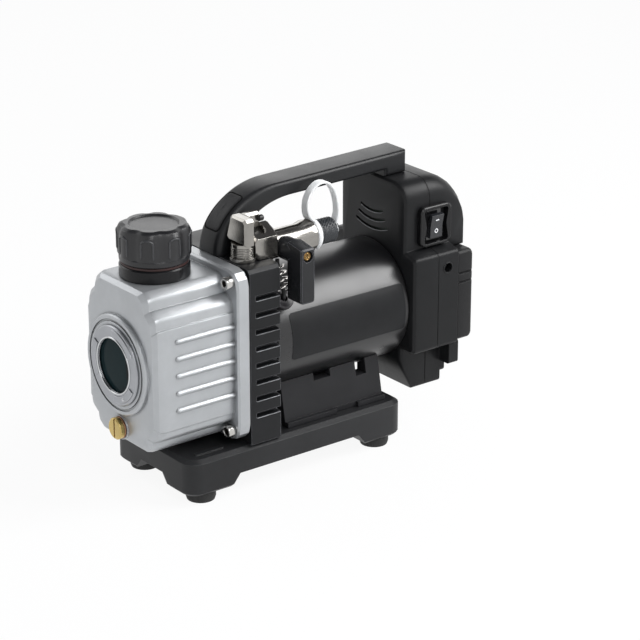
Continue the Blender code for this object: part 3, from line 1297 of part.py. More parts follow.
def build_valve():
    axis = (VALVE_Y, VALVE_Z)
    corner = HEX_FLATS / math.sqrt(3)

    def hexagon(radius):
        return [(VALVE_Y + radius * math.cos(math.pi * k / 3), VALVE_Z + radius * math.sin(math.pi * k / 3))
                for k in range(6)]

    hex_end = HEX_START + HEX_LENGTH
    rings = [station("X", HEX_START, hexagon(corner - 0.0014)),
             station("X", HEX_START + 0.001, hexagon(corner)),
             station("X", hex_end, hexagon(corner))]
    valve = piece("valve_body", loft(rings), "chrome")
    run = [(HEX_START + HEX_LENGTH / 2, BODY_RADIUS - 0.001), (hex_end + 0.001, BODY_RADIUS),
           (BODY_END - 0.006, BODY_RADIUS), (BODY_END, VALVE_COLLAR_RADIUS),
           (COLLAR_END, VALVE_COLLAR_RADIUS),
           (COLLAR_END, VALVE_NECK_RADIUS), (VALVE_NECK_END, VALVE_NECK_RADIUS),
           (VALVE_NECK_END, NOSE_RADIUS), (NOSE_END - 0.001, NOSE_RADIUS), (NOSE_END, NOSE_RADIUS - 0.001)]
    fuse(valve, "run", turned("X", run, axis, 28))
    link_start = ELBOW_X + ELBOW_LENGTH / 2 + SEAT_GAP
    link_z = ELBOW_BOTTOM + ELBOW_HEIGHT / 2 - LINK_DROP
    link = [station("X", link_start, circle(LINK_RADIUS, 20, (INLET_Y, link_z))),
            station("X", VALVE_PIVOT_X - BODY_RADIUS / 2,
                    circle(LINK_RADIUS, 20, (VALVE_Y, VALVE_Z + 0.002)))]
    fuse(valve, "link", loft(link))
    stem_end = VALVE_Y + STEM_REACH
    pocket = [(LEVER_BACK - 0.002, STEM_PLUG_RADIUS + RUNNING_GAP),
              (stem_end + RUNNING_GAP, STEM_PLUG_RADIUS + RUNNING_GAP)]
    cut(valve, "stem_pocket", turned("Y", pocket, (VALVE_PIVOT_X, VALVE_Z), 24))
    flow = [(VALVE_PIVOT_X, FLOW_RADIUS), (NOSE_END + 0.001, FLOW_RADIUS)]
    cut(valve, "flow_bore", turned("X", flow, axis, 16))

    pivot = (VALVE_PIVOT_X, LEVER_FACE, VALVE_Z)
    spindle = (VALVE_PIVOT_X, VALVE_Z)
    boss_end = LEVER_BACK - LEVER_BOSS_LENGTH
    stem_tip = LEVER_FACE + 0.0045
    stem = [(stem_tip, STEM_RADIUS), (LEVER_BACK + RUNNING_GAP, STEM_RADIUS),
            (LEVER_BACK + RUNNING_GAP, STEM_PLUG_RADIUS), (stem_end, STEM_PLUG_RADIUS)]
    piece("valve_stem", turned("Y", stem, spindle, 24), "steel", pivot)

    def arm(inset, face_drop):
        corners = [
            (VALVE_PIVOT_X - LEVER_HALF_WIDTH + inset, VALVE_Z - LEVER_DROP + inset, 0.002),
            (VALVE_PIVOT_X + LEVER_HALF_WIDTH - inset, VALVE_Z - LEVER_DROP + inset, 0.002),
            (VALVE_PIVOT_X + LEVER_HALF_WIDTH - inset, VALVE_Z + LEVER_RISE - face_drop - inset, 0.0015),
            (VALVE_PIVOT_X - LEVER_HALF_WIDTH + inset, VALVE_Z + LEVER_RISE - face_drop - inset, 0.0015),
        ]
        return fillet(corners, 2)

    rings = [station("Y", boss_end, arm(0.001, 0.0)), station("Y", boss_end - 0.001, arm(0.0, 0.0)),
             station("Y", LEVER_FACE + 0.001, arm(0.0, LEVER_TOP_FALL)),
             station("Y", LEVER_FACE, arm(0.001, LEVER_TOP_FALL))]
    lever = piece("valve_lever", loft(rings), "black_plastic", pivot)
    boss = [(boss_end - LEVER_DEPTH / 2, LEVER_BOSS_RADIUS - 0.0035), (boss_end - 0.0005, LEVER_BOSS_RADIUS),
            (LEVER_BACK - 0.001, LEVER_BOSS_RADIUS), (LEVER_BACK, LEVER_BOSS_RADIUS - 0.001)]
    fuse(lever, "boss", turned("Y", boss, spindle, 24))
    socket = [(stem_tip - SEAT_GAP, STEM_RADIUS + SEAT_GAP), (LEVER_BACK + 0.001, STEM_RADIUS + SEAT_GAP)]
    cut(lever, "stem_socket", turned("Y", socket, spindle, 20))
    recess_floor = LEVER_FACE + 0.0028
    recess = [(LEVER_FACE - 0.001, LEVER_SCREW_RADIUS + SEAT_GAP),
              (recess_floor, LEVER_SCREW_RADIUS + SEAT_GAP)]
    cut(lever, "screw_recess", turned("Y", recess, spindle, 20))
    screw = [(recess_floor - SEAT_GAP, LEVER_SCREW_RADIUS), (LEVER_FACE + 0.0012, LEVER_SCREW_RADIUS),
             (LEVER_FACE + 0.0005, LEVER_SCREW_RADIUS - 0.001)]
    piece("lever_screw", turned("Y", screw, spindle, 20), "brass", pivot)


def build_flare_cap():
    axis = (VALVE_Y, VALVE_Z)
    start = VALVE_NECK_END + SEAT_GAP
    end = start + FLARE_CAP_LENGTH
    count = FLARE_CAP_RIDGES * 2
    cavity = NOSE_RADIUS + RUNNING_GAP

    def ridged(radius):
        points = []
        for index in range(count):
            angle = 2 * math.pi * index / count
            size = radius - FLARE_CAP_RIDGE * (index % 2)
            points.append((VALVE_Y + size * math.cos(angle), VALVE_Z + size * math.sin(angle)))
        return points

    def plain(radius):
        return circle(radius, count, axis)

    stud_end = end + STUD_LENGTH
    rings = [
        station("X", NOSE_END + SEAT_GAP, plain(cavity)),
        station("X", start, plain(cavity)),
        station("X", start, plain(FLARE_CAP_RADIUS - 0.0012)),
        station("X", start + 0.0020, plain(FLARE_CAP_RADIUS - 0.0008)),
        station("X", start + 0.0024, ridged(FLARE_CAP_RADIUS)),
        station("X", end - 0.002, ridged(FLARE_CAP_RADIUS)),
        station("X", end, plain(FLARE_CAP_RADIUS - 0.002)),
        station("X", end, plain(STUD_RADIUS)),
        station("X", stud_end, plain(STUD_RADIUS)),
        station("X", stud_end, plain(STUD_HEAD_RADIUS)),
        station("X", stud_end + STUD_HEAD_LENGTH, plain(STUD_HEAD_RADIUS - 0.0004)),
    ]
    piece("flare_cap", loft(rings), "gloss_black", (start, VALVE_Y, VALVE_Z))

    ring_middle = (COLLAR_END + VALVE_NECK_END) / 2
    ring_inner = VALVE_NECK_RADIUS + SEAT_GAP
    ring_outer = ring_inner + STRAP_RING_WALL
    ring_low = ring_middle - STRAP_RING_WIDTH / 2
    ring_high = ring_middle + STRAP_RING_WIDTH / 2
    ring = [(ring_low, ring_inner), (ring_low, ring_outer), (ring_high, ring_outer), (ring_high, ring_inner)]
    strap = piece("tether_strap", turned("X", ring, axis, 28, closed=True), "white_strap")
    eye_inner = STUD_RADIUS + RUNNING_GAP
    eye_outer = eye_inner + STRAP_EYE_WALL
    eye_low = end + SEAT_GAP
    eye_high = stud_end - SEAT_GAP
    eye = [(eye_low, eye_inner), (eye_low, eye_outer), (eye_high, eye_outer), (eye_high, eye_inner)]
    fuse(strap, "eye", turned("X", eye, axis, 24, closed=True))

    left = (ring_middle, VALVE_Z + ring_outer - 0.0008)
    right = ((eye_low + eye_high) / 2, VALVE_Z + eye_outer - 0.0008)
    crest = VALVE_Z + STRAP_LOOP_HEIGHT
    path = []
    steps = 20
    for index in range(steps + 1):
        share = index / steps
        x = left[0] + (right[0] - left[0]) * (3 * share ** 2 - 2 * share ** 3)
        bulge = STRAP_BULGE * math.sin(math.pi * share) * math.cos(math.pi * share)
        foot = left[1] + (right[1] - left[1]) * share
        z = foot + (crest - foot) * math.sin(math.pi * share) ** 0.75
        path.append(Vector((x - bulge, z)))
    half_width = STRAP_WIDTH / 2
    rings = []
    for index, here in enumerate(path):
        before = path[max(index - 1, 0)]
        after = path[min(index + 1, steps)]
        along = (after - before).normalized()
        across = Vector((-along.y, along.x)) * STRAP_THICKNESS / 2
        low = here - across
        high = here + across
        near = VALVE_Y - half_width
        far = VALVE_Y + half_width
        rings.append([Vector((low.x, near, low.y)), Vector((high.x, near, high.y)),
                      Vector((high.x, far, high.y)), Vector((low.x, far, low.y))])
    fuse(strap, "loop", loft(rings))


# Grommet, lead and spring guard

def lead_path(count):
    """Points from the motor's surface, along its normal, then up to the valve body."""
    rise = math.sqrt(MOTOR_RADIUS ** 2 - LEAD_Y ** 2)
    surface = Vector((LEAD_X, LEAD_Y, SHAFT_HEIGHT + rise))
    normal = Vector((0.0, LEAD_Y, rise)).normalized()
    start = surface + normal * 0.0010
    drop = math.sqrt(BODY_RADIUS ** 2 - (LEAD_END_Y + LEAD_RADIUS - VALVE_Y) ** 2)
    end = Vector((LEAD_X, LEAD_END_Y, VALVE_Z - drop - SEAT_GAP))
    first = start + normal * LEAD_REACH
    second = end - Vector((0.0, 0.0, 2 * LEAD_REACH))
    points = []
    for index in range(count):
        t = index / (count - 1)
        points.append((1 - t) ** 3 * start + 3 * (1 - t) ** 2 * t * first
                      + 3 * (1 - t) * t ** 2 * second + t ** 3 * end)
    return points, normal, surface


def tube(name, points, radius, resolution, finish):
    """Round tube along points, with closed ends."""
    curve = bpy.data.curves.new(name, "CURVE")
    curve.dimensions = "3D"
    curve.bevel_depth = radius
    curve.bevel_resolution = resolution
    curve.use_fill_caps = True
    spline = curve.splines.new("POLY")
    spline.points.add(len(points) - 1)
    for target, point in zip(spline.points, points):
        target.co = (*point, 1.0)
    made = bpy.data.objects.new(name, curve)
    bpy.context.scene.collection.objects.link(made)
    made.parent = pump_frame
    curve.materials.append(finish_material(name, finish))


def build_lead():
    points, normal, surface = lead_path(14)
    tube("sensor_lead", points, LEAD_RADIUS, 2, "rubber")

    turn = Vector((0.0, 0.0, 1.0)).rotation_difference(normal).to_matrix()
    profile = [(GROMMET_BORE, -0.006), (GROMMET_RADIUS, -0.006), (GROMMET_RADIUS, GROMMET_HEIGHT - 0.001),
               (GROMMET_RADIUS - 0.001, GROMMET_HEIGHT), (GROMMET_BORE, GROMMET_HEIGHT)]
    rings = []
    for radius, height in profile:
        rings.append([surface + turn @ Vector((u, v, height)) for u, v in circle(radius, 24)])
    grommet = piece("cable_grommet", loft(rings, closed=True), "rubber")
    can = [(MOTOR_FRONT, MOTOR_RADIUS + SEAT_GAP), (MOTOR_REAR, MOTOR_RADIUS + SEAT_GAP)]
    cut(grommet, "motor_seat", turned("X", can, (0.0, SHAFT_HEIGHT), 64))

    fine, normal, surface = lead_path(200)
    lengths = [0.0]
    for before, after in zip(fine, fine[1:]):
        lengths.append(lengths[-1] + (after - before).length)
    start = GROMMET_HEIGHT + SPRING_WIRE + SEAT_GAP
    end = lengths[-1] * 0.80
    coil = []
    total = SPRING_TURNS * SPRING_POINTS
    for index in range(total + 1):
        share = index / total
        distance = start + (end - start) * share
        place = min(range(len(lengths)), key=lambda k: abs(lengths[k] - distance))
        tangent = (fine[min(place + 1, len(fine) - 1)] - fine[max(place - 1, 0)]).normalized()
        along = normal.lerp(tangent, min(2 * share, 1.0)).normalized()
        side = Vector((1.0, 0.0, 0.0))
        other = along.cross(side).normalized()
        radius = SPRING_BOTTOM_RADIUS + (SPRING_TOP_RADIUS - SPRING_BOTTOM_RADIUS) * share
        angle = 2 * math.pi * SPRING_TURNS * share
        coil.append(fine[place] + radius * (math.cos(angle) * side + math.sin(angle) * other))
    tube("spring_guard", coil, SPRING_WIRE, 1, "steel")
    least = 1.0
    for index, here in enumerate(coil):
        for other_point in coil[index + SPRING_POINTS // 2:]:
            least = min(least, (other_point - here).length - 2 * SPRING_WIRE)
    print("spring guard: least gap to itself %.2f mm" % (1000 * least))


build_base()
build_saddle()
build_centre_plate()
build_oil_case()
build_filler()
build_pump_unit()
build_motor()
build_handle()
build_front_shell()
build_rear_shell()
build_battery()
build_switch()
build_inlet()
build_valve()
build_flare_cap()
build_lead()
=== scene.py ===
import math

import bmesh
import bpy
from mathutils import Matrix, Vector
from mathutils.bvhtree import BVHTree


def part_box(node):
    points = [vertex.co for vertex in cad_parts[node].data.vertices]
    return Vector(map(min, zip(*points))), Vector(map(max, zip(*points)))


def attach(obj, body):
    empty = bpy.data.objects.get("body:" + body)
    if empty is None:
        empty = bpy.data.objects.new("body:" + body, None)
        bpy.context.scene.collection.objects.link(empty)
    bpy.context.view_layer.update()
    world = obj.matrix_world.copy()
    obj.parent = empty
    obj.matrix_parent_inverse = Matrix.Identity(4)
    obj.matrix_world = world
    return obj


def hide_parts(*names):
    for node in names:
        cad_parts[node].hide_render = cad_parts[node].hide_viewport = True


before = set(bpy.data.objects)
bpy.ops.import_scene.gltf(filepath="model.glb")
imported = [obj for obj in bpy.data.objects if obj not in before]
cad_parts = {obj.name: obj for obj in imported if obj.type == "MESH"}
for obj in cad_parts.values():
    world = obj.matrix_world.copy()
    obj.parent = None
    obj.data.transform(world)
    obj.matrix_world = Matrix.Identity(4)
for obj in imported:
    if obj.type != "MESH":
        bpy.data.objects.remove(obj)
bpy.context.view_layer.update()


# Studio: a plain white sweep lit by large soft panels, with the camera at the height
# of someone looking down on a bench. None of it belongs to the pump.

scene = bpy.context.scene
scene.view_settings.view_transform = "Standard"

CAMERA_PLACE = Vector((-1.05685, -1.4153, 0.7954))
CAMERA_AIM = Vector((0.5700, 0.7375, -0.3623))
LENS_LENGTH = 138.3
SENSOR_WIDTH = 36.0
camera_lens = bpy.data.cameras.new("bench_camera")
camera_lens.lens = LENS_LENGTH
camera_lens.sensor_width = SENSOR_WIDTH
camera = bpy.data.objects.new("bench_camera", camera_lens)
camera.location = CAMERA_PLACE
camera.rotation_euler = CAMERA_AIM.to_track_quat("-Z", "Y").to_euler()
scene.collection.objects.link(camera)
scene.camera = camera


def set_inputs(node, values):
    """Sets inputs of a node by their labels."""
    for label, value in values.items():
        node.inputs[label].default_value = value


def add_node(tree, kind, values=None, operation=None, data_type=None):
    """New node of that kind, with the inputs and settings that are given."""
    node = tree.nodes.new(kind)
    if data_type:
        node.data_type = data_type
    if operation:
        node.operation = operation
    set_inputs(node, values or {})
    return node


def set_ramp(ramp_node, *stops):
    """Gives the stops of a colour ramp their places and colours."""
    for stop, (position, colour) in zip(ramp_node.color_ramp.elements, stops):
        stop.position = position
        stop.color = colour


def seen_directly(tree):
    """Output that is 1 for camera, mirror and glass rays and 0 for the rest."""
    ray = add_node(tree, "ShaderNodeLightPath")
    mirrored = add_node(tree, "ShaderNodeMath", operation="MAXIMUM")
    tree.links.new(ray.outputs["Is Camera Ray"], mirrored.inputs[0])
    tree.links.new(ray.outputs["Is Glossy Ray"], mirrored.inputs[1])
    through = add_node(tree, "ShaderNodeMath", operation="MAXIMUM")
    tree.links.new(mirrored.outputs[0], through.inputs[0])
    tree.links.new(ray.outputs["Is Transmission Ray"], through.inputs[1])
    return through.outputs[0]


AMBIENT = (0.36, 0.37, 0.39, 1.0)
WALL_FOOT = (0.42, (1.0, 1.0, 1.0, 1.0))
WALL_HEAD = (0.68, (0.10, 0.10, 0.105, 1.0))
sky = bpy.data.worlds.new("studio_air")
sky.use_nodes = True
scene.world = sky
air = sky.node_tree
backdrop = air.nodes["Background"]
compass = add_node(air, "ShaderNodeTexCoord")
height = add_node(air, "ShaderNodeSeparateXYZ")
air.links.new(compass.outputs["Generated"], height.inputs[0])
walls = add_node(air, "ShaderNodeValToRGB")
set_ramp(walls, WALL_FOOT, WALL_HEAD)
air.links.new(height.outputs["Z"], walls.inputs["Fac"])
air.links.new(walls.outputs["Color"], backdrop.inputs["Color"])
bounce = add_node(air, "ShaderNodeBackground", {"Color": AMBIENT})
blend = add_node(air, "ShaderNodeMixShader")
air.links.new(seen_directly(air), blend.inputs["Fac"])
air.links.new(bounce.outputs[0], blend.inputs[1])
air.links.new(backdrop.outputs[0], blend.inputs[2])
air.links.new(blend.outputs[0], air.nodes["World Output"].inputs["Surface"])

FLOOR_REACH = 6.0
FLOOR_GLOW = 0.92
PAPER_WHITE = (0.86, 0.86, 0.86, 1.0)
floor_mesh = bpy.data.meshes.new("bench_sweep")
corners = [(x * FLOOR_REACH, y * FLOOR_REACH, 0.0) for x, y in ((-1, -1), (1, -1), (1, 1), (-1, 1))]
floor_mesh.from_pydata(corners, [], [(0, 1, 2, 3)])
floor = bpy.data.objects.new("bench_sweep", floor_mesh)
scene.collection.objects.link(floor)
paper = bpy.data.materials.new("white_paper")
paper.use_nodes = True
sheet = paper.node_tree
paper_face = sheet.nodes["Principled BSDF"]
set_inputs(paper_face, {"Base Color": PAPER_WHITE, "Roughness": 0.9, "Specular IOR Level": 0.0})
glow = add_node(sheet, "ShaderNodeEmission")
share = add_node(sheet, "ShaderNodeMath", {1: FLOOR_GLOW}, operation="MULTIPLY")
sheet.links.new(seen_directly(sheet), share.inputs[0])
paper_blend = add_node(sheet, "ShaderNodeMixShader")
sheet.links.new(share.outputs[0], paper_blend.inputs["Fac"])
sheet.links.new(paper_face.outputs[0], paper_blend.inputs[1])
sheet.links.new(glow.outputs[0], paper_blend.inputs[2])
sheet.links.new(paper_blend.outputs[0], sheet.nodes["Material Output"].inputs["Surface"])
floor_mesh.materials.append(paper)

LIGHT_TARGET = Vector((0.0, 0.0, 0.11))
SOFT_PANELS = (
    ("key_panel", (-0.38, -1.38, 1.38), 0.8, 11.0),
    ("top_panel", (0.85, -0.72, 1.08), 0.85, 20.0),
    ("rim_panel", (0.95, 1.30, 0.85), 0.9, 2.6),
    ("back_panel", (-0.55, 1.25, 1.10), 0.9, 4.5),
)
for panel_name, place, width, power in SOFT_PANELS:
    lamp = bpy.data.lights.new(panel_name, "AREA")
    lamp.shape = "SQUARE"
    lamp.size = width
    lamp.energy = power
    panel = bpy.data.objects.new(panel_name, lamp)
    panel.location = place
    panel.rotation_euler = (LIGHT_TARGET - Vector(place)).to_track_quat("-Z", "Y").to_euler()
    scene.collection.objects.link(panel)


# Base plate: one black moulding with a skirt, legs at its corners and hollows below,
# standing on four rubber feet that are pushed up into the legs.

COAT_ROUGHNESS = 0.12
CLOUDS = {"Scale": 34.0, "Detail": 5.0, "Roughness": 0.62}
CLOUD_LOW = 0.30
CLOUD_HIGH = 0.70
POLISH_LOW = 0.86
POLISH_HIGH = 1.14
GRAIN_DEPTH = 0.25
PAINTED_SHADE_TONE = 0.08
EDGE_SAMPLES = 4
CREASE_SAMPLES = 6


def finish(name, colour, roughness, metallic=0.0, mottle=0.2, grain=0.2, grain_size=0.0006, edge=0.0005,
           wear_and_sheen=0.0, worn_and_sheen_colour=(0.5, 0.5, 0.5), coat=0.0, shine=0.5, painted_shade=0.0, painted_shade_reach=0.003):
    """Material with cloudy colour, fine grain, softened edges, corners painted lighter as wear and highlight,
    and painted shade in its creases.
    """
    material = bpy.data.materials.new(name)
    material.use_nodes = True
    tree = material.node_tree
    link = tree.links.new
    shader = tree.nodes["Principled BSDF"]
    set_inputs(shader, {"Metallic": metallic, "Specular IOR Level": shine, "Coat Weight": coat,
                        "Coat Roughness": COAT_ROUGHNESS})
    place = add_node(tree, "ShaderNodeTexCoord")

    cloud = add_node(tree, "ShaderNodeTexNoise", CLOUDS)
    link(place.outputs["Object"], cloud.inputs["Vector"])
    tone = add_node(tree, "ShaderNodeValToRGB")
    set_ramp(tone, (CLOUD_LOW, [part * (1 - mottle) for part in colour] + [1.0]),
             (CLOUD_HIGH, [min(part * (1 + mottle), 1.0) for part in colour] + [1.0]))
    link(cloud.outputs["Fac"], tone.inputs["Fac"])

    polish = add_node(tree, "ShaderNodeMapRange", {
        "From Min": 0.25, "From Max": 0.75,
        "To Min": roughness * POLISH_LOW, "To Max": min(roughness * POLISH_HIGH, 1.0)})
    link(cloud.outputs["Fac"], polish.inputs["Value"])
    link(polish.outputs["Result"], shader.inputs["Roughness"])

    rounding = add_node(tree, "ShaderNodeBevel", {"Radius": edge})
    rounding.samples = EDGE_SAMPLES
    texture = add_node(tree, "ShaderNodeTexNoise", {"Scale": 1.0 / grain_size, "Detail": 2.0})
    link(place.outputs["Object"], texture.inputs["Vector"])
    relief = add_node(tree, "ShaderNodeBump", {"Strength": grain, "Distance": grain_size * GRAIN_DEPTH})
    link(texture.outputs["Fac"], relief.inputs["Height"])
    link(rounding.outputs["Normal"], relief.inputs["Normal"])
    link(relief.outputs["Normal"], shader.inputs["Normal"])

    surface = tone.outputs["Color"]
    # Painted shade: an ambient occlusion mask darkens the colour in creases and between parts, where shade
    # falls.
    if painted_shade > 0.0:
        crease = add_node(tree, "ShaderNodeAmbientOcclusion", {"Distance": painted_shade_reach})
        crease.samples = CREASE_SAMPLES
        depth = add_node(tree, "ShaderNodeMapRange", {
            "From Min": 0.35, "From Max": 0.85, "To Min": painted_shade, "To Max": 0.0})
        link(crease.outputs["AO"], depth.inputs["Value"])
        painted_shade_colour = [part * PAINTED_SHADE_TONE for part in colour] + [1.0]
        painted_shade_mix = add_node(tree, "ShaderNodeMix", {"B": painted_shade_colour}, data_type="RGBA")
        link(depth.outputs["Result"], painted_shade_mix.inputs["Factor"])
        link(surface, painted_shade_mix.inputs["A"])
        surface = painted_shade_mix.outputs["Result"]
    # Painted highlight and wear: convex edges found from the softened normal are mixed towards a lighter
    # colour, partly rubbed wear and partly the light that edges catch.
    if wear_and_sheen > 0.0:
        shape = add_node(tree, "ShaderNodeNewGeometry")
        flatness = add_node(tree, "ShaderNodeVectorMath", operation="DOT_PRODUCT")
        link(rounding.outputs["Normal"], flatness.inputs[0])
        link(shape.outputs["Normal"], flatness.inputs[1])
        corner = add_node(tree, "ShaderNodeMapRange", {
            "From Min": 0.995, "From Max": 0.90, "To Max": wear_and_sheen})
        link(flatness.outputs["Value"], corner.inputs["Value"])
        wear_and_sheen_mask = add_node(tree, "ShaderNodeMath", operation="MULTIPLY")
        link(corner.outputs["Result"], wear_and_sheen_mask.inputs[0])
        link(cloud.outputs["Fac"], wear_and_sheen_mask.inputs[1])
        paint = add_node(tree, "ShaderNodeMix", {"B": (*worn_and_sheen_colour, 1.0)}, data_type="RGBA")
        link(wear_and_sheen_mask.outputs[0], paint.inputs["Factor"])
        link(surface, paint.inputs["A"])
        surface = paint.outputs["Result"]
    link(surface, shader.inputs["Base Color"])
    return material


def make_shading_tree(merge_gap, sharp_angle):
    """Geometry nodes that weld a carried-over solid and shade its round faces smooth."""
    tree = bpy.data.node_groups.new("welded_shading", "GeometryNodeTree")
    tree.interface.new_socket("Solid", in_out="INPUT", socket_type="NodeSocketGeometry")
    for label, value in (("Merge gap", merge_gap), ("Sharp angle", sharp_angle)):
        socket = tree.interface.new_socket(label, in_out="INPUT", socket_type="NodeSocketFloat")
        socket.default_value = value
    tree.interface.new_socket("Solid", in_out="OUTPUT", socket_type="NodeSocketGeometry")
    link = tree.links.new
    given = add_node(tree, "NodeGroupInput")
    result = add_node(tree, "NodeGroupOutput")
    weld = add_node(tree, "GeometryNodeMergeByDistance")
    link(given.outputs["Solid"], weld.inputs["Geometry"])
    link(given.outputs["Merge gap"], weld.inputs["Distance"])
    plain = add_node(tree, "GeometryNodeRemoveAttribute", {"Name": "custom_normal"})
    link(weld.outputs["Geometry"], plain.inputs["Geometry"])
    smooth = add_node(tree, "GeometryNodeSetShadeSmooth")
    smooth.domain = "FACE"
    link(plain.outputs["Geometry"], smooth.inputs["Geometry"])
    fold = add_node(tree, "GeometryNodeInputMeshEdgeAngle")
    sharp = add_node(tree, "FunctionNodeCompare", operation="GREATER_THAN", data_type="FLOAT")
    link(fold.outputs["Unsigned Angle"], sharp.inputs["A"])
    link(given.outputs["Sharp angle"], sharp.inputs["B"])
    crease = add_node(tree, "GeometryNodeSetShadeSmooth", {"Shade Smooth": False})
    crease.domain = "EDGE"
    link(smooth.outputs["Geometry"], crease.inputs["Geometry"])
    link(sharp.outputs["Result"], crease.inputs["Selection"])
    link(crease.outputs["Geometry"], result.inputs[0])
    return tree


welded_shading = make_shading_tree(merge_gap=0.000002, sharp_angle=math.radians(26))


def dress(material, *names):
    """Gives carried-over solids their finish and smooth shading."""
    for name in names:
        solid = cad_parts[name]
        for place in solid.material_slots:
            place.material = material
        shading = solid.modifiers.new("welded_shading", "NODES")
        shading.node_group = welded_shading


base_black = finish("base_black", (0.016, 0.0163, 0.0175), 0.44, shine=0.30, mottle=0.18, grain=0.28,
                    edge=0.0008, wear_and_sheen=0.35, worn_and_sheen_colour=(0.17, 0.175, 0.18))
foot_rubber = finish("foot_rubber", (0.014, 0.014, 0.014), 0.72, mottle=0.3, grain=0.35,
                     grain_size=0.0009)
dress(base_black, "base_plate")
dress(foot_rubber, "rubber_foot_front_left", "rubber_foot_front_right", "rubber_foot_rear_left",
      "rubber_foot_rear_right")


# Motor saddle: a moulded cradle screwed to the base, open below so that air can pass
# under the motor.

saddle_black = finish("saddle_black", (0.013, 0.013, 0.0145), 0.52, shine=0.25, mottle=0.2, grain=0.3,
                      wear_and_sheen=0.25, worn_and_sheen_colour=(0.08, 0.08, 0.085))
dress(saddle_black, "motor_saddle")


# Centre plate: the finned black bracket that carries the pump on one side and the
# motor on the other. Its edges are machined, so they catch the light, and are painted
# lighter as wear and painted highlight. The thin lighter strips on the crests of its fins
# stand partly for rubbed metal and partly for a painted highlight.

plate_black = finish("plate_black", (0.0075, 0.0079, 0.0090), 0.40, shine=0.24, mottle=0.2, grain=0.2,
                     edge=0.0011, wear_and_sheen=0.55, worn_and_sheen_colour=(0.30, 0.31, 0.33))
gasket_grey = finish("gasket_grey", (0.10, 0.10, 0.105), 0.8, mottle=0.25, grain=0.4)
dress(plate_black, "centre_plate")
dress(gasket_grey, "case_gasket")


def lay(axis, position, points, centre=(0.0, 0.0)):
    """Ring of (u, v) points set square to an axis at a position along it."""
    ring = []
    for u, v in points:
        if axis == "X":
            ring.append(Vector((position, centre[0] + u, centre[1] + v)))
        elif axis == "Y":
            ring.append(Vector((centre[0] + u, position, centre[1] + v)))
        else:
            ring.append(Vector((centre[0] + u, centre[1] + v, position)))
    return ring


SAME_POINT = 0.0000005


def skin(name, rings, material, closed=False, crease=32, capped=True):
    """Mesh object through rings of equal count, its ends capped, left open or joined round."""
    work = bmesh.new()
    loops = [[work.verts.new(point) for point in ring] for ring in rings]
    pairs = list(zip(loops, loops[1:]))
    if closed:
        pairs.append((loops[-1], loops[0]))
    for one, two in pairs:
        for index in range(len(one)):
            after = (index + 1) % len(one)
            work.faces.new((one[index], one[after], two[after], two[index]))
    if capped and not closed:
        work.faces.new(loops[0])
        work.faces.new(loops[-1])
    bmesh.ops.remove_doubles(work, verts=work.verts, dist=SAME_POINT)
    bmesh.ops.recalc_face_normals(work, faces=work.faces)
    mesh = bpy.data.meshes.new(name)
    work.to_mesh(mesh)
    work.free()
    mesh.shade_smooth()
    mesh.set_sharp_from_angle(angle=math.radians(crease))
    mesh.materials.append(material)
    made = bpy.data.objects.new(name, mesh)
    scene.collection.objects.link(made)
    return made


def make_repeat_tree():
    """Geometry nodes that set copies of a shape along a line, round an axis, or both."""
    tree = bpy.data.node_groups.new("repeated_shape", "GeometryNodeTree")
    sockets = {}
    tree.interface.new_socket("Shape", in_out="INPUT", socket_type="NodeSocketGeometry")
    for label, kind in (("Count", "NodeSocketInt"), ("Turn", "NodeSocketFloat"),
                        ("Axis", "NodeSocketVector"), ("Centre", "NodeSocketVector"),
                        ("Step", "NodeSocketVector"), ("Finish", "NodeSocketMaterial")):
        sockets[label] = tree.interface.new_socket(label, in_out="INPUT", socket_type=kind).identifier
    tree.interface.new_socket("Copies", in_out="OUTPUT", socket_type="NodeSocketGeometry")
    link = tree.links.new
    given = add_node(tree, "NodeGroupInput")
    result = add_node(tree, "NodeGroupOutput")
    number = add_node(tree, "GeometryNodeInputIndex")
    travel = add_node(tree, "ShaderNodeVectorMath", operation="SCALE")
    link(given.outputs["Step"], travel.inputs[0])
    link(number.outputs[0], travel.inputs["Scale"])
    place = add_node(tree, "ShaderNodeVectorMath", operation="ADD")
    link(given.outputs["Centre"], place.inputs[0])
    link(travel.outputs[0], place.inputs[1])
    points = add_node(tree, "GeometryNodePoints")
    link(given.outputs["Count"], points.inputs["Count"])
    link(place.outputs[0], points.inputs["Position"])
    angle = add_node(tree, "ShaderNodeMath", operation="MULTIPLY")
    link(given.outputs["Turn"], angle.inputs[0])
    link(number.outputs[0], angle.inputs[1])
    swing = add_node(tree, "FunctionNodeAxisAngleToRotation")
    link(given.outputs["Axis"], swing.inputs["Axis"])
    link(angle.outputs[0], swing.inputs["Angle"])
    copies = add_node(tree, "GeometryNodeInstanceOnPoints")
    link(points.outputs[0], copies.inputs["Points"])
    link(given.outputs["Shape"], copies.inputs["Instance"])
    link(swing.outputs[0], copies.inputs["Rotation"])
    solid = add_node(tree, "GeometryNodeRealizeInstances")
    link(copies.outputs[0], solid.inputs[0])
    coat = add_node(tree, "GeometryNodeSetMaterial")
    link(solid.outputs[0], coat.inputs["Geometry"])
    link(given.outputs["Finish"], coat.inputs["Material"])
    link(coat.outputs[0], result.inputs[0])
    return tree, sockets


repeated_shape, repeat_inputs = make_repeat_tree()


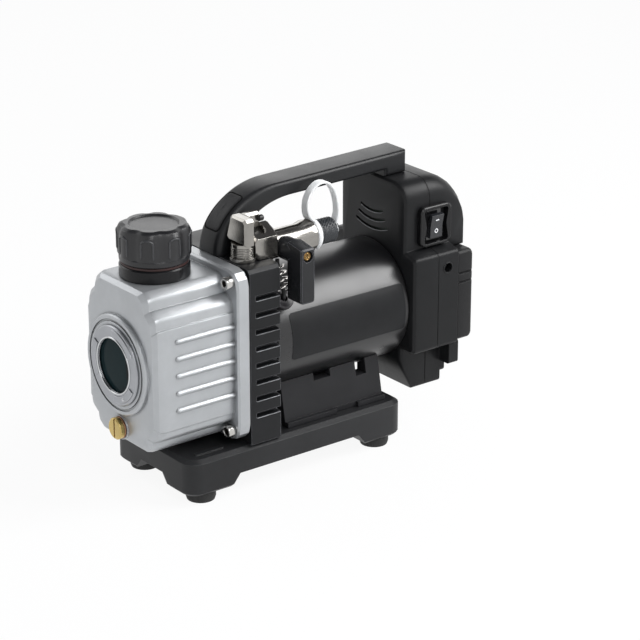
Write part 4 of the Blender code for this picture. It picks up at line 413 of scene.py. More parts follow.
def repeat(shape, count, centre=(0, 0, 0), step=(0, 0, 0), turn=0.0, axis=(0, 0, 1)):
    """Turns a shape into a plain mesh of its copies."""
    modifier = shape.modifiers.new("repeated_shape", "NODES")
    modifier.node_group = repeated_shape
    modifier[repeat_inputs["Count"]] = count
    modifier[repeat_inputs["Turn"]] = float(turn)
    modifier[repeat_inputs["Axis"]] = [float(part) for part in axis]
    modifier[repeat_inputs["Centre"]] = [float(part) for part in centre]
    modifier[repeat_inputs["Step"]] = [float(part) for part in step]
    modifier[repeat_inputs["Finish"]] = shape.data.materials[0]
    bpy.context.view_layer.update()
    ready = shape.evaluated_get(bpy.context.evaluated_depsgraph_get())
    mesh = bpy.data.meshes.new_from_object(ready)
    shape.modifiers.remove(modifier)
    shape.data = mesh
    return shape


END_SHRINK = 0.3


def tapered_bar(axis, start, end, taper, outline, centre=(0.0, 0.0)):
    """Rings of a straight bar that shrinks over a short taper at its two ends."""
    rings = []
    for along, size in ((start, END_SHRINK), (start + taper, 1.0), (end - taper, 1.0), (end, END_SHRINK)):
        rings.append(lay(axis, along, [(u * size, v * size) for u, v in outline], centre))
    return rings


plate_low, plate_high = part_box("centre_plate")
FIN_COUNT = 8
FIN_MARGIN = 0.0165
FIN_GROOVE = 0.0040
FIN_SETBACK = 0.0053
CREST_END_GAP = 0.0002
CREST_TAPER = 0.0008
CREST_WIDTH = 0.00055
CREST_RISE = 0.00016
CREST_ROOT = 0.0002
# The crest strips are coloured lighter than the plate: partly rubbed metal, partly a painted highlight.
crest_wear_and_sheen = finish("crest_wear_and_sheen", (0.20, 0.205, 0.215), 0.36, metallic=0.6, mottle=0.55, grain=0.2)
fin_start = plate_low[0] + FIN_SETBACK
fin_end = plate_high[0] - CREST_END_GAP
fin_pitch = (plate_high[2] - plate_low[2] - 2 * FIN_MARGIN) / FIN_COUNT
lowest_crest = plate_low[2] + FIN_MARGIN + (fin_pitch - FIN_GROOVE) / 2
for side_name, outward, wall in (("near", -1, plate_low[1]), ("far", 1, plate_high[1])):
    root = -outward * CREST_ROOT
    rise = outward * CREST_RISE
    crest_outline = [(root, -CREST_WIDTH), (0.0, -CREST_WIDTH), (rise, -0.75 * CREST_WIDTH),
                     (rise, -0.25 * CREST_WIDTH), (0.0, 0.0), (root, 0.0)]
    crest_rings = tapered_bar("X", fin_start, fin_end, CREST_TAPER, crest_outline, centre=(wall, 0.0))
    fin_crests = skin("fin_crests_" + side_name, crest_rings, crest_wear_and_sheen)
    repeat(fin_crests, FIN_COUNT, centre=(0, 0, lowest_crest), step=(0, 0, fin_pitch))
    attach(fin_crests, "pump")


# Oil case: die-cast aluminium with a satin skin, stepped corners and thin cooling ribs,
# bolted through its flange. Cast corners and rib crests are painted brighter, partly as
# rubbed wear and partly as a painted highlight, and its creases are darkened as painted shade.

cast_silver = finish("cast_silver", (0.44, 0.455, 0.47), 0.36, metallic=0.62, mottle=0.07, grain=0.22,
                     grain_size=0.0007, edge=0.0008, wear_and_sheen=0.5, worn_and_sheen_colour=(0.86, 0.87, 0.88),
                     painted_shade=0.75, painted_shade_reach=0.0035)
dress(cast_silver, "oil_case")


# Case screws: four bright socket-head screws that clamp the flange. Each is cold formed
# with a knurled head and a broached six-sided socket.

def around(count):
    """Angles spaced evenly round a circle."""
    return [math.tau * index / count for index in range(count)]


def outline_from(reaches):
    """Outline as (u, v) points, from its reach in evenly spaced directions."""
    return [(reach * math.cos(angle), reach * math.sin(angle))
            for reach, angle in zip(reaches, around(len(reaches)))]


def circle_points(radius, count):
    """Points round a circle as (u, v)."""
    return outline_from([radius] * count)


def hexagon_reach(corner, angle):
    """How far a hexagon of that corner radius reaches at an angle."""
    side = (angle % (math.pi / 3)) - math.pi / 6
    return corner * math.cos(math.pi / 6) / math.cos(side)


def stacked(axis, start, rows, centre=(0.0, 0.0)):
    """Rings from rows of a distance past the start and an outline."""
    return [lay(axis, start + along, outline, centre) for along, outline in rows]


def turned(axis, start, rows, count, centre=(0.0, 0.0)):
    """Rings of a turned piece, from rows of a distance past the start and a radius."""
    return stacked(axis, start, [(along, circle_points(radius, count)) for along, radius in rows], centre)


def middle(node):
    """Centre of a carried-over solid."""
    low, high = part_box(node)
    return (Vector(low) + Vector(high)) / 2


screw_bright = finish("screw_bright", (0.58, 0.57, 0.55), 0.24, metallic=1.0, mottle=0.12, grain=0.1,
                      edge=0.0003, wear_and_sheen=0.5, worn_and_sheen_colour=(0.8, 0.8, 0.8))
HEAD_RADIUS = 0.0049
HEAD_HEIGHT = 0.0058
SOCKET_RADIUS = 0.0029
SOCKET_DEPTH = 0.0034
SOCKET_CONE = 0.0006
SOCKET_LEAD = 0.0003
FACE_EDGE = 0.0007
RIM_EDGE = 0.0003
RIM_DEPTH = 0.0002
KNURL = 0.00013
KNURL_FRONT = 0.0006
KNURL_BACK = 0.0012
NECK_BACK = 0.0010
NECK_EDGE = 0.0002
TIP = 0.0002
ROUND = 48
knurled = outline_from([HEAD_RADIUS - KNURL * (index % 2) for index in range(ROUND)])
six_sided = outline_from([hexagon_reach(SOCKET_RADIUS, angle) for angle in around(ROUND)])
head_rings = stacked("X", 0.0, (
    (SOCKET_DEPTH + SOCKET_CONE, circle_points(TIP, ROUND)),
    (SOCKET_DEPTH, six_sided),
    (SOCKET_LEAD, six_sided),
    (0.0, circle_points(SOCKET_RADIUS + SOCKET_LEAD, ROUND)),
    (0.0, circle_points(HEAD_RADIUS - FACE_EDGE, ROUND)),
    (RIM_DEPTH, circle_points(HEAD_RADIUS - RIM_EDGE, ROUND)),
    (KNURL_FRONT, knurled),
    (HEAD_HEIGHT - KNURL_BACK, knurled),
    (HEAD_HEIGHT - NECK_BACK, circle_points(HEAD_RADIUS - NECK_EDGE, ROUND)),
    (HEAD_HEIGHT, circle_points(HEAD_RADIUS - RIM_EDGE, ROUND)),
))
SOCKET_RINGS = 3
socket_shade = finish("socket_shade", (0.05, 0.045, 0.04), 0.5, metallic=0.8, mottle=0.3, grain=0.2)
case_screws = skin("case_screws", head_rings[SOCKET_RINGS - 1:], screw_bright, capped=False)
screw_sockets = skin("case_screw_sockets", head_rings[:SOCKET_RINGS], socket_shade, capped=False)
screw_sockets.data.flip_normals()
screw_low = middle("case_screw_lower_left")
screw_high = middle("case_screw_upper_right")
screw_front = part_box("case_screw_lower_left")[0][0]
for screw_piece in (case_screws, screw_sockets):
    repeat(screw_piece, 2, step=(0, screw_high.y - screw_low.y, 0))
    repeat(screw_piece, 2, centre=(screw_front, screw_low.y, screw_low.z),
           step=(0, 0, screw_high.z - screw_low.z))
    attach(screw_piece, "pump")
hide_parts("case_screw_lower_left", "case_screw_upper_left", "case_screw_lower_right",
            "case_screw_upper_right")


# Sight glass: a thick lens held by a turned aluminium ring with three low steps for a
# pin wrench. Behind it stands dark oil, brown to one side and teal to the other.

ring_silver = finish("ring_silver", (0.34, 0.35, 0.37), 0.30, metallic=0.95, mottle=0.08, grain=0.15,
                     edge=0.0006, wear_and_sheen=0.7, worn_and_sheen_colour=(0.9, 0.9, 0.9))
dress(ring_silver, "sight_glass_ring")
RING_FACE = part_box("sight_glass_ring")[0][0]
eye = middle("sight_glass_ring")
STEP_COUNT = 3
STEP_INNER = 0.0232
STEP_OUTER = 0.0288
STEP_EDGE = 0.0004
STEP_PROUD = Vector((0.0007, 0.0, 0.0))
STEP_SPAN = math.radians(62)
STEP_PARTS = 18
step_rings = []
for index in range(STEP_PARTS + 1):
    angle = STEP_SPAN * (index / STEP_PARTS - 0.5)
    out = Vector((0.0, math.cos(angle), math.sin(angle)))
    step_rings.append([out * STEP_INNER, out * (STEP_INNER + STEP_EDGE) - STEP_PROUD,
                       out * (STEP_OUTER - STEP_EDGE) - STEP_PROUD, out * STEP_OUTER])
ring_steps = skin("sight_ring_steps", step_rings, ring_silver, crease=25)
repeat(ring_steps, STEP_COUNT, centre=(RING_FACE, eye.y, eye.z), turn=math.tau / STEP_COUNT, axis=(1, 0, 0))
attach(ring_steps, "pump")


def wire_ring(point, one, two, radius, sides):
    """Ring of a wire or bead round a point, spanned by two directions."""
    return [point + radius * (one * math.cos(angle) + two * math.sin(angle)) for angle in around(sides)]


bezel_bright = finish("bezel_bright", (0.55, 0.56, 0.57), 0.18, metallic=1.0, mottle=0.05, grain=0.05)
BEZEL_RADIUS = 0.0217
BEZEL_WIRE = 0.0008
BEZEL_ROUND = 72
FORWARD = Vector((-1.0, 0.0, 0.0))
bezel_rings = []
for u, v in circle_points(BEZEL_RADIUS, BEZEL_ROUND):
    place = Vector((RING_FACE, eye.y + u, eye.z + v))
    out = Vector((0.0, u, v)).normalized()
    bezel_rings.append(wire_ring(place, out, FORWARD, BEZEL_WIRE, sides=10))
sight_bezel = skin("sight_bezel", bezel_rings, bezel_bright, closed=True, crease=60)
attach(sight_bezel, "pump")

PIN_ANGLE = math.radians(-62)
PIN_REACH = 0.0262
PIN_PROFILE = ((0.0002, 0.0013), (-0.0006, 0.0013), (-0.0010, 0.0009), (-0.0011, 0.0002))
PIN_ROUND = 20
pin_centre = (eye.y - PIN_REACH * math.cos(PIN_ANGLE), eye.z + PIN_REACH * math.sin(PIN_ANGLE))
lock_pin = skin("sight_ring_pin", turned("X", RING_FACE, PIN_PROFILE, PIN_ROUND, pin_centre), bezel_bright)
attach(lock_pin, "pump")

lens_low, lens_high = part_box("sight_glass")
LENS_RADIUS = (lens_high[1] - lens_low[1]) / 2
LENS_CROWN = 0.0004
LENS_SHARES = (1.0, 0.93, 0.75, 0.5, 0.25, 0.02)
LENS_ROUND = 64
lens_profile = [(lens_high[0], LENS_RADIUS)]
for share_out in LENS_SHARES:
    lens_profile.append((lens_low[0] + LENS_CROWN * share_out ** 2, LENS_RADIUS * share_out))
lens_rings = turned("X", 0.0, lens_profile, LENS_ROUND, (eye.y, eye.z))

OIL_TEAL = (0.30, (0.010, 0.024, 0.027, 1.0))
OIL_BROWN = (0.55, (0.020, 0.005, 0.002, 1.0))
oil_glass = bpy.data.materials.new("oil_behind_glass")
oil_glass.use_nodes = True
pane = oil_glass.node_tree
pane_face = pane.nodes["Principled BSDF"]
set_inputs(pane_face, {"Roughness": 0.06, "Specular IOR Level": 0.04})
pane_place = add_node(pane, "ShaderNodeTexCoord")
across = add_node(pane, "ShaderNodeMapping", {
    "Rotation": (0.0, 0.0, math.radians(90)), "Scale": (26.0, 26.0, 26.0)})
pane.links.new(pane_place.outputs["Object"], across.inputs["Vector"])
drift = add_node(pane, "ShaderNodeTexNoise", {"Scale": 90.0, "Detail": 4.0, "Distortion": 0.8})
pane.links.new(pane_place.outputs["Object"], drift.inputs["Vector"])
side_to_side = add_node(pane, "ShaderNodeTexGradient")
pane.links.new(across.outputs["Vector"], side_to_side.inputs["Vector"])
murk = add_node(pane, "ShaderNodeMix", {"Factor": 0.45})
pane.links.new(side_to_side.outputs["Fac"], murk.inputs["A"])
pane.links.new(drift.outputs["Fac"], murk.inputs["B"])
oil_tones = add_node(pane, "ShaderNodeValToRGB")
set_ramp(oil_tones, OIL_TEAL, OIL_BROWN)
pane.links.new(murk.outputs["Result"], oil_tones.inputs["Fac"])
pane.links.new(oil_tones.outputs["Color"], pane_face.inputs["Base Color"])
sight_lens = skin("sight_lens", lens_rings, oil_glass, crease=40)
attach(sight_lens, "pump")
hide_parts("sight_glass")


# Filler: a smooth black collar on the flat top of the case, a dark red seal above it and
# a screw cap moulded with eight grips, each outlined by a raised loop.

collar_gloss = finish("collar_gloss", (0.009, 0.009, 0.010), 0.22, mottle=0.15, grain=0.05, shine=0.22,
                      edge=0.0006)
seal_red = finish("seal_red", (0.026, 0.006, 0.005), 0.55, mottle=0.3, grain=0.25)
cap_black = finish("cap_black", (0.011, 0.011, 0.0125), 0.34, shine=0.52, mottle=0.15, grain=0.22,
                   edge=0.0009, wear_and_sheen=0.3, worn_and_sheen_colour=(0.14, 0.14, 0.15))
dress(collar_gloss, "filler_collar")
dress(seal_red, "oil_cap_seal")
dress(cap_black, "oil_cap")


def surface_of(solid):
    """Search tree over a solid's mesh, for setting trim on its face."""
    return BVHTree.FromPolygons([vertex.co for vertex in solid.data.vertices],
                                [tuple(face.vertices) for face in solid.data.polygons])


BEAD_TIP = 0.15
BEAD_TILT = Vector((0.31, 0.17, 0.94))


def bead(name, path, radius, material, sides=8):
    """Round bead along a path, drawn in at its two ends."""
    rings = []
    last = len(path) - 1
    for index, point in enumerate(path):
        ahead = path[min(index + 1, last)]
        behind = path[max(index - 1, 0)]
        along = (ahead - behind).normalized()
        side = along.cross(BEAD_TILT).normalized()
        size = radius * (BEAD_TIP if index in (0, last) else 1.0)
        rings.append(wire_ring(point, side, along.cross(side), size, sides))
    return skin(name, rings, material, crease=70)


cap_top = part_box("oil_cap")[1][2]
cap_centre = middle("oil_cap")
cap_face = surface_of(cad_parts["oil_cap"])
CAP_GRIPS = 8
LOOP_HALF = math.radians(9.5)
LOOP_FOOT = cap_top - 0.0205
LOOP_HEAD = cap_top - 0.0085
LOOP_ARCH = 0.0030
LOOP_BEAD = 0.00085
LEG_PARTS = 6
ARCH_PARTS = 10
RAY_START = 0.05
loop_leg = LOOP_HEAD - LOOP_FOOT
flat_loop = [(-LOOP_HALF, LOOP_FOOT + loop_leg * part / LEG_PARTS) for part in range(LEG_PARTS + 1)]
flat_loop += [(LOOP_HALF * math.sin(turn), LOOP_HEAD + LOOP_ARCH * math.cos(turn))
              for turn in (math.pi * part / ARCH_PARTS - math.pi / 2 for part in range(1, ARCH_PARTS))]
flat_loop += [(LOOP_HALF, LOOP_HEAD - loop_leg * part / LEG_PARTS) for part in range(LEG_PARTS + 1)]
loop_path = []
for angle, level in flat_loop:
    out = Vector((math.cos(angle), math.sin(angle), 0.0))
    start = Vector((cap_centre.x, cap_centre.y, level)) + out * RAY_START
    hit = cap_face.ray_cast(start, -out)[0]
    loop_path.append(hit - Vector((cap_centre.x, cap_centre.y, 0.0)))
loop_black = finish("loop_black", (0.034, 0.035, 0.038), 0.30, mottle=0.15, grain=0.2)
cap_loops = bead("cap_grip_loops", loop_path, LOOP_BEAD, loop_black)
repeat(cap_loops, CAP_GRIPS, centre=(cap_centre.x, cap_centre.y, 0.0), turn=math.tau / CAP_GRIPS)
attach(cap_loops, "oil_cap")


# Drain: a turned brass plug with a coin slot, on a thin copper washer, low on the face of
# the case.

drain_brass = finish("drain_brass", (0.52, 0.39, 0.15), 0.26, metallic=1.0, mottle=0.16, grain=0.12,
                     edge=0.0006, wear_and_sheen=0.6, worn_and_sheen_colour=(0.95, 0.80, 0.42))
washer_copper = finish("washer_copper", (0.58, 0.30, 0.17), 0.35, metallic=1.0, mottle=0.15, grain=0.15)
dress(drain_brass, "drain_plug")
dress(washer_copper, "drain_washer")


# Motor: a drawn steel can in satin black paint, pushed onto the centre plate. A thin matt
# sheet is wrapped round the side that faces the valve lever.

motor_satin = finish("motor_satin", (0.009, 0.009, 0.010), 0.30, shine=0.60, mottle=0.12, grain=0.10,
                     grain_size=0.0010, edge=0.0008)
dress(motor_satin, "motor_case")
motor_low, motor_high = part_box("motor_case")
shaft_line = middle("motor_case")
label_matt = finish("label_matt", (0.010, 0.0104, 0.0115), 0.40, shine=0.20, mottle=0.2, grain=0.4,
                    grain_size=0.0005)
LABEL_RADIUS = (motor_high[1] - motor_low[1]) / 2
LABEL_THICK = 0.00018
LABEL_SUNK = 0.0004
LABEL_FRONT = motor_low[0] + 0.014
LABEL_REAR = motor_high[0] - 0.004
LABEL_TOP = math.radians(29)
LABEL_BOTTOM = math.radians(-16)
LABEL_CORNER = 0.0025
LABEL_PARTS = 28
label_rings = []
for index in range(LABEL_PARTS + 1):
    angle = LABEL_BOTTOM + (LABEL_TOP - LABEL_BOTTOM) * index / LABEL_PARTS
    end_gap = min(angle - LABEL_BOTTOM, LABEL_TOP - angle) * LABEL_RADIUS
    pull = max(LABEL_CORNER - end_gap, 0.0)
    cut_back = LABEL_CORNER - math.sqrt(max(LABEL_CORNER ** 2 - pull ** 2, 0.0))
    out = Vector((0.0, -math.cos(angle), math.sin(angle)))
    front = Vector((LABEL_FRONT + cut_back, shaft_line.y, shaft_line.z))
    rear = Vector((LABEL_REAR - cut_back, shaft_line.y, shaft_line.z))
    low_skin = out * (LABEL_RADIUS - LABEL_SUNK)
    top_skin = out * (LABEL_RADIUS + LABEL_THICK)
    label_rings.append([front + low_skin, front + top_skin, rear + top_skin, rear + low_skin])
bare_label = skin("bare_label", label_rings, label_matt)
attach(bare_label, "pump")


# Carry handle: a thick black bow from the centre plate to the hood, moulded with a fine
# satin skin and a wide soft edge round its front. A small insert closes a screw pocket.

handle_black = finish("handle_black", (0.0105, 0.011, 0.012), 0.38, shine=0.30, mottle=0.12, grain=0.30,
                      grain_size=0.0006, edge=0.0006, wear_and_sheen=0.2, worn_and_sheen_colour=(0.2, 0.205, 0.21))
handle_low, handle_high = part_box("carry_handle")
BOW_MIDDLE = (handle_low[1] + handle_high[1]) / 2
BOW_HALF = (handle_high[1] - handle_low[1]) / 2
BOW_CENTRE = (-0.0082, 0.1780)
BOW_FORWARD = 0.0040
BOW_REACH = (BOW_CENTRE[0] - handle_low[0] + BOW_FORWARD, 0.0456)
HOLLOW_CENTRE = (0.0052, 0.1850)
HOLLOW_REACH = (0.0460, 0.0270)
HEEL_LENGTH = 0.0210
HEEL_FOOT = 0.2083
BAR_DEPTH = 0.0128
BOW_PARTS = 36
BAR_PARTS = 10
SOFT_EDGE = 0.0060
BAR_EDGE = 0.0032
HOLLOW_EDGE = 0.0026
FADE_START = math.radians(92)
FADE_SPAN = math.radians(36)


def on_ellipse(centre, reach, turn):
    """Point of an ellipse as (x, z)."""
    return centre[0] + reach[0] * math.cos(turn), centre[1] + reach[1] * math.sin(turn)


def part_way(first, last, part):
    """Point that share of the way between two (x, z) points."""
    return first[0] + (last[0] - first[0]) * part, first[1] + (last[1] - first[1]) * part


def bow_outline():
    """Side view of the handle as (x, z, edge radius), from its front foot and back to it."""
    points = [(BOW_CENTRE[0] - BOW_REACH[0], handle_low[2], SOFT_EDGE)]
    for number in range(BOW_PARTS + 1):
        turn = math.pi - 0.5 * math.pi * number / BOW_PARTS
        fade = min(max((turn - FADE_START) / FADE_SPAN, 0.0), 1.0)
        points.append((*on_ellipse(BOW_CENTRE, BOW_REACH, turn), BAR_EDGE + (SOFT_EDGE - BAR_EDGE) * fade))
    crest = points[-1]
    bar_end = (handle_high[0], handle_high[2])
    for number in range(1, BAR_PARTS + 1):
        points.append((*part_way(crest, bar_end, number / BAR_PARTS), BAR_EDGE))
    heel = handle_high[0] - HEEL_LENGTH
    under = handle_high[2] - BAR_DEPTH
    points.append((handle_high[0], HEEL_FOOT, BAR_EDGE))
    points.append((heel, HEEL_FOOT, HOLLOW_EDGE))
    points.append((heel, under, HOLLOW_EDGE))
    crown = (HOLLOW_CENTRE[0], HOLLOW_CENTRE[1] + HOLLOW_REACH[1])
    for number in range(1, BAR_PARTS):
        points.append((*part_way((heel, under), crown, number / BAR_PARTS), HOLLOW_EDGE))
    for number in range(BOW_PARTS + 1):
        turn = 0.5 * math.pi + 0.5 * math.pi * number / BOW_PARTS
        points.append((*on_ellipse(HOLLOW_CENTRE, HOLLOW_REACH, turn), HOLLOW_EDGE))
    points.append((HOLLOW_CENTRE[0] - HOLLOW_REACH[0], handle_low[2], HOLLOW_EDGE))
    return points


LEAST_STRETCH = 0.5


def drawn_in(points, amount):
    """The outline pulled inwards by that amount of each point's edge radius."""
    count = len(points)
    pulled = []
    for index, (x, z, radius) in enumerate(points):
        before, after = points[index - 1], points[(index + 1) % count]
        into = Vector((x - before[0], z - before[1])).normalized()
        away = Vector((after[0] - x, after[1] - z)).normalized()
        if index == 0:
            into = away
        elif index == count - 1:
            away = into
        square = Vector((into.y + away.y, -into.x - away.x))
        square.normalize()
        stretch = max(square.dot(Vector((into.y, -into.x))), LEAST_STRETCH)
        pulled.append(Vector((x, z)) + square * (radius * amount / stretch))
    return pulled


bow = bow_outline()
bow_rings = []
EDGE_TURNS = [math.radians(angle) for angle in (90, 90, 74, 58, 42, 28, 14, 0)]
FLAT_INSET = 0.25
for side, turns in ((-1, EDGE_TURNS), (1, EDGE_TURNS[::-1])):
    for number, turn in enumerate(turns):
        flat_ring = number == (0 if side < 0 else len(turns) - 1)
        pull = 1 - math.cos(turn) + (FLAT_INSET if flat_ring else 0.0)
        ring = []
        for (x, z, radius), spot in zip(bow, drawn_in(bow, pull)):
            depth = BOW_HALF - radius * (1 - math.sin(turn))
            ring.append(Vector((spot.x, BOW_MIDDLE + side * depth, spot.y)))
        bow_rings.append(ring)
bow_handle = skin("bow_handle", bow_rings, handle_black, crease=40)
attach(bow_handle, "pump")
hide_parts("carry_handle")

handle_face = surface_of(bow_handle)
insert_black = finish("insert_black", (0.010, 0.010, 0.0115), 0.5, shine=0.3, mottle=0.2, grain=0.5,
                      grain_size=0.0011)
INSERT_CENTRE = Vector((-0.0500, BOW_MIDDLE, 0.2060))
INSERT_LOOK = Vector((0.72, 0.0, -0.69)).normalized()
INSERT_ALONG = Vector((0.69, 0.0, 0.72)).normalized()
INSERT_ACROSS = Vector((0.0, 1.0, 0.0))
INSERT_HALF_LENGTH = 0.0160
INSERT_HALF_WIDTH = 0.0084
INSERT_CORNER = 0.0036


def on_handle(along, across, lift):
    """Point on the handle's front curve, raised by lift."""
    start = INSERT_CENTRE - RAY_START * INSERT_LOOK + along * INSERT_ALONG + across * INSERT_ACROSS
    place, normal, _, _ = handle_face.ray_cast(start, INSERT_LOOK)
    return place + normal * lift


def rounded_loop(half_length, half_width, corner, parts=6, side_parts=8):
    """Rounded rectangle as (along, across) points, with points down its long sides."""
    points = []
    for sign_u, sign_v, first in ((1, 1, 0), (-1, 1, 90), (-1, -1, 180), (1, -1, 270)):
        for number in range(parts + 1):
            turn = math.radians(first + 90 * number / parts)
            points.append((sign_u * (half_length - corner) + corner * math.cos(turn),
                           sign_v * (half_width - corner) + corner * math.sin(turn)))
        if sign_u * sign_v > 0:
            start = points[-1][0]
            points += [(start * (1 - 2 * part / side_parts), points[-1][1]) for part in range(1, side_parts)]
    return points


INSERT_PROFILE = ((0.0, -0.0004), (0.0, 0.00012), (0.0005, 0.0003), (0.0022, 0.0003), (0.0050, 0.0003),
                  (0.0078, 0.0003))
LEAST_CORNER = 0.0004
insert_rings = []
for inset, lift in INSERT_PROFILE:
    loop = rounded_loop(INSERT_HALF_LENGTH - inset, INSERT_HALF_WIDTH - inset,
                        max(INSERT_CORNER - inset, LEAST_CORNER))
    insert_rings.append([on_handle(along, across, lift) for along, across in loop])
handle_insert = skin("handle_insert", insert_rings, insert_black)
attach(handle_insert, "pump")

# A near-black matt colour for the dark joints round the insert and between the shells, also used as painted
# shade in the lever screw's seat.
joint_and_shade_dark = finish("joint_and_shade_dark", (0.003, 0.003, 0.003), 0.7, shine=0.1, mottle=0.2, grain=0.1)
SEAM_WIDTH = 0.00075
SEAM_OUTSET = 0.0004
SEAM_FLATNESS = 0.4
seam_loop = rounded_loop(INSERT_HALF_LENGTH + SEAM_OUTSET, INSERT_HALF_WIDTH + SEAM_OUTSET, INSERT_CORNER)
seam_points = [on_handle(along, across, 0.0) for along, across in seam_loop]
seam_rings = []
for index, point in enumerate(seam_points):
    along = (seam_points[(index + 1) % len(seam_points)] - seam_points[index - 1]).normalized()
    out = -INSERT_LOOK
    flat = along.cross(out).normalized()
    seam_rings.append(wire_ring(point, flat, SEAM_FLATNESS * out, SEAM_WIDTH, sides=8))
insert_seam = skin("handle_insert_seam", seam_rings, joint_and_shade_dark, closed=True, crease=70)
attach(insert_seam, "pump")


# Rear housing: two black shells that close the motor's end and carry the switch and the
# battery. They meet on a fine parting line and are screwed together through deep bosses.
# The hood's vents have thin raised lips, coloured lighter than the hood as a painted highlight.

housing_black = finish("housing_black", (0.0095, 0.0098, 0.0106), 0.38, shine=0.20, mottle=0.12, grain=0.34,
                       grain_size=0.0006, edge=0.0009, wear_and_sheen=0.12, worn_and_sheen_colour=(0.20, 0.205, 0.215))
dress(housing_black, "rear_housing_front", "rear_housing_rear")
front_low, front_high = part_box("rear_housing_front")
rear_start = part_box("rear_housing_rear")[0][0]
front_shell = surface_of(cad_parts["rear_housing_front"])
PARTING_PLANE = (front_high[0] + rear_start) / 2
PARTING_SAMPLE = front_high[0] - 0.0006
PARTING_EYE_HEIGHT = 0.135
PARTING_EYE = Vector((PARTING_SAMPLE, (front_low[1] + front_high[1]) / 2, PARTING_EYE_HEIGHT))
PARTING_RAYS = 360
PARTING_RAY_START = 0.2
PARTING_SUNK = 0.0001
PARTING_BEAD = 0.00042
PARTING_FLATNESS = 0.5
BACKWARD = Vector((1.0, 0.0, 0.0))
parting = []
for angle in around(PARTING_RAYS):
    out = Vector((0.0, math.cos(angle), math.sin(angle)))
    hit = front_shell.ray_cast(PARTING_EYE + out * PARTING_RAY_START, -out)[0]
    parting.append(Vector((PARTING_PLANE, hit.y, hit.z)) - out * PARTING_SUNK)
parting_rings = []
for index, point in enumerate(parting):
    along = (parting[(index + 1) % PARTING_RAYS] - parting[index - 1]).normalized()
    flat = along.cross(BACKWARD).normalized()
    parting_rings.append(wire_ring(point, BACKWARD, PARTING_FLATNESS * flat, PARTING_BEAD, sides=6))
housing_seam = skin("housing_seam", parting_rings, joint_and_shade_dark, closed=True, crease=80)
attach(housing_seam, "pump")

LOUVRE_EDGES = (("inner", 0.0353), ("middle", 0.0423), ("outer", 0.0493))
LOUVRE_HALF = math.radians(24)
LOUVRE_RISE = 0.0040
LIP_BEAD = 0.0004
LIP_PARTS = 16
lip_painted_highlight = finish("lip_painted_highlight", (0.11, 0.112, 0.118), 0.30, mottle=0.2, grain=0.2)
for lip_name, radius in LOUVRE_EDGES:
    lip_path = []
    for number in range(LIP_PARTS + 1):
        angle = LOUVRE_HALF * (2 * number / LIP_PARTS - 1)
        lip_path.append(Vector((front_low[0], shaft_line.y + radius * math.sin(angle),
                                front_high[2] + LOUVRE_RISE - radius * math.cos(angle))))
    louvre_lip = bead("louvre_lip_" + lip_name, lip_path, LIP_BEAD, lip_painted_highlight)
    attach(louvre_lip, "pump")

boss_steel = finish("boss_steel", (0.10, 0.10, 0.105), 0.35, metallic=0.9, mottle=0.2, grain=0.15)
BOSS_MOUTH = 0.0036
BOSS_RIM = ((BOSS_MOUTH, -0.0006), (BOSS_MOUTH + 0.0003, 0.0005), (BOSS_MOUTH + 0.0009, 0.0006),
            (BOSS_MOUTH + 0.0016, -0.0002))
STAR_RADIUS = 0.0017
STAR_ARMS = 6
STAR_POINT = 0.0003
STAR_DEPTH = 0.0020
STAR_LEAD = 0.0002
HEAD_FLAT = 0.0009
HEAD_SIDE = 0.0002
HEAD_ROLL = 0.0005
star = outline_from([STAR_RADIUS + STAR_POINT * math.cos(STAR_ARMS * turn) for turn in around(ROUND)])
for side, facing in (("left", -1), ("right", 1)):
    node = "housing_screw_" + side
    low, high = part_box(node)
    place = middle(node)
    outer = low[1] if facing < 0 else high[1]
    wide = (high[0] - low[0]) / 2
    head_side = circle_points(wide - HEAD_SIDE, ROUND)
    screw_rows = ((STAR_DEPTH + STAR_LEAD, circle_points(TIP, ROUND)), (STAR_DEPTH, star), (STAR_LEAD, star),
                  (0.0, circle_points(STAR_RADIUS + HEAD_ROLL, ROUND)),
                  (0.0, circle_points(wide - HEAD_FLAT, ROUND)), (HEAD_ROLL, head_side),
                  (high[1] - low[1], head_side))
    screw_rings = stacked("Y", outer, [(-facing * depth, outline) for depth, outline in screw_rows],
                          (place.x, place.z))
    mouth = front_low[1] if facing < 0 else front_high[1]
    rim_rings = []
    for u, v in circle_points(1.0, ROUND):
        rim_rings.append([Vector((place.x + u * size, mouth + facing * rise, place.z + v * size))
                          for size, rise in BOSS_RIM])
    boss_rim = skin("boss_rim_" + side, rim_rings, housing_black, closed=True, crease=45)
    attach(boss_rim, "pump")
    boss_screw = skin("boss_screw_" + side, screw_rings, boss_steel)
    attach(boss_screw, "pump")
    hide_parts(node)


# Switch: a rocker in a glossy black body, set in a raised guard with pinched sides. The
# two plain marks for on and off are printed white.

switch_gloss = finish("switch_gloss", (0.010, 0.010, 0.011), 0.14, mottle=0.15, grain=0.05, coat=0.5,
                      edge=0.0005)
guard_gloss = finish("guard_gloss", (0.006, 0.006, 0.0065), 0.22, shine=0.3, mottle=0.15, grain=0.1,
                     edge=0.0007, wear_and_sheen=0.35, worn_and_sheen_colour=(0.15, 0.15, 0.16))
rocker_satin = finish("rocker_satin", (0.018, 0.019, 0.022), 0.26, mottle=0.12, grain=0.12, edge=0.0005)
dress(guard_gloss, "switch_guard")
dress(switch_gloss, "switch_body")
dress(rocker_satin, "switch_rocker")
mark_white = finish("mark_white", (0.86, 0.87, 0.88), 0.45, mottle=0.05, grain=0.1)
rocker_face = surface_of(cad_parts["switch_rocker"])
rocker_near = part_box("switch_rocker")[0][1]
rocker_middle = middle("switch_rocker")
MARK_RAY_START = 0.02


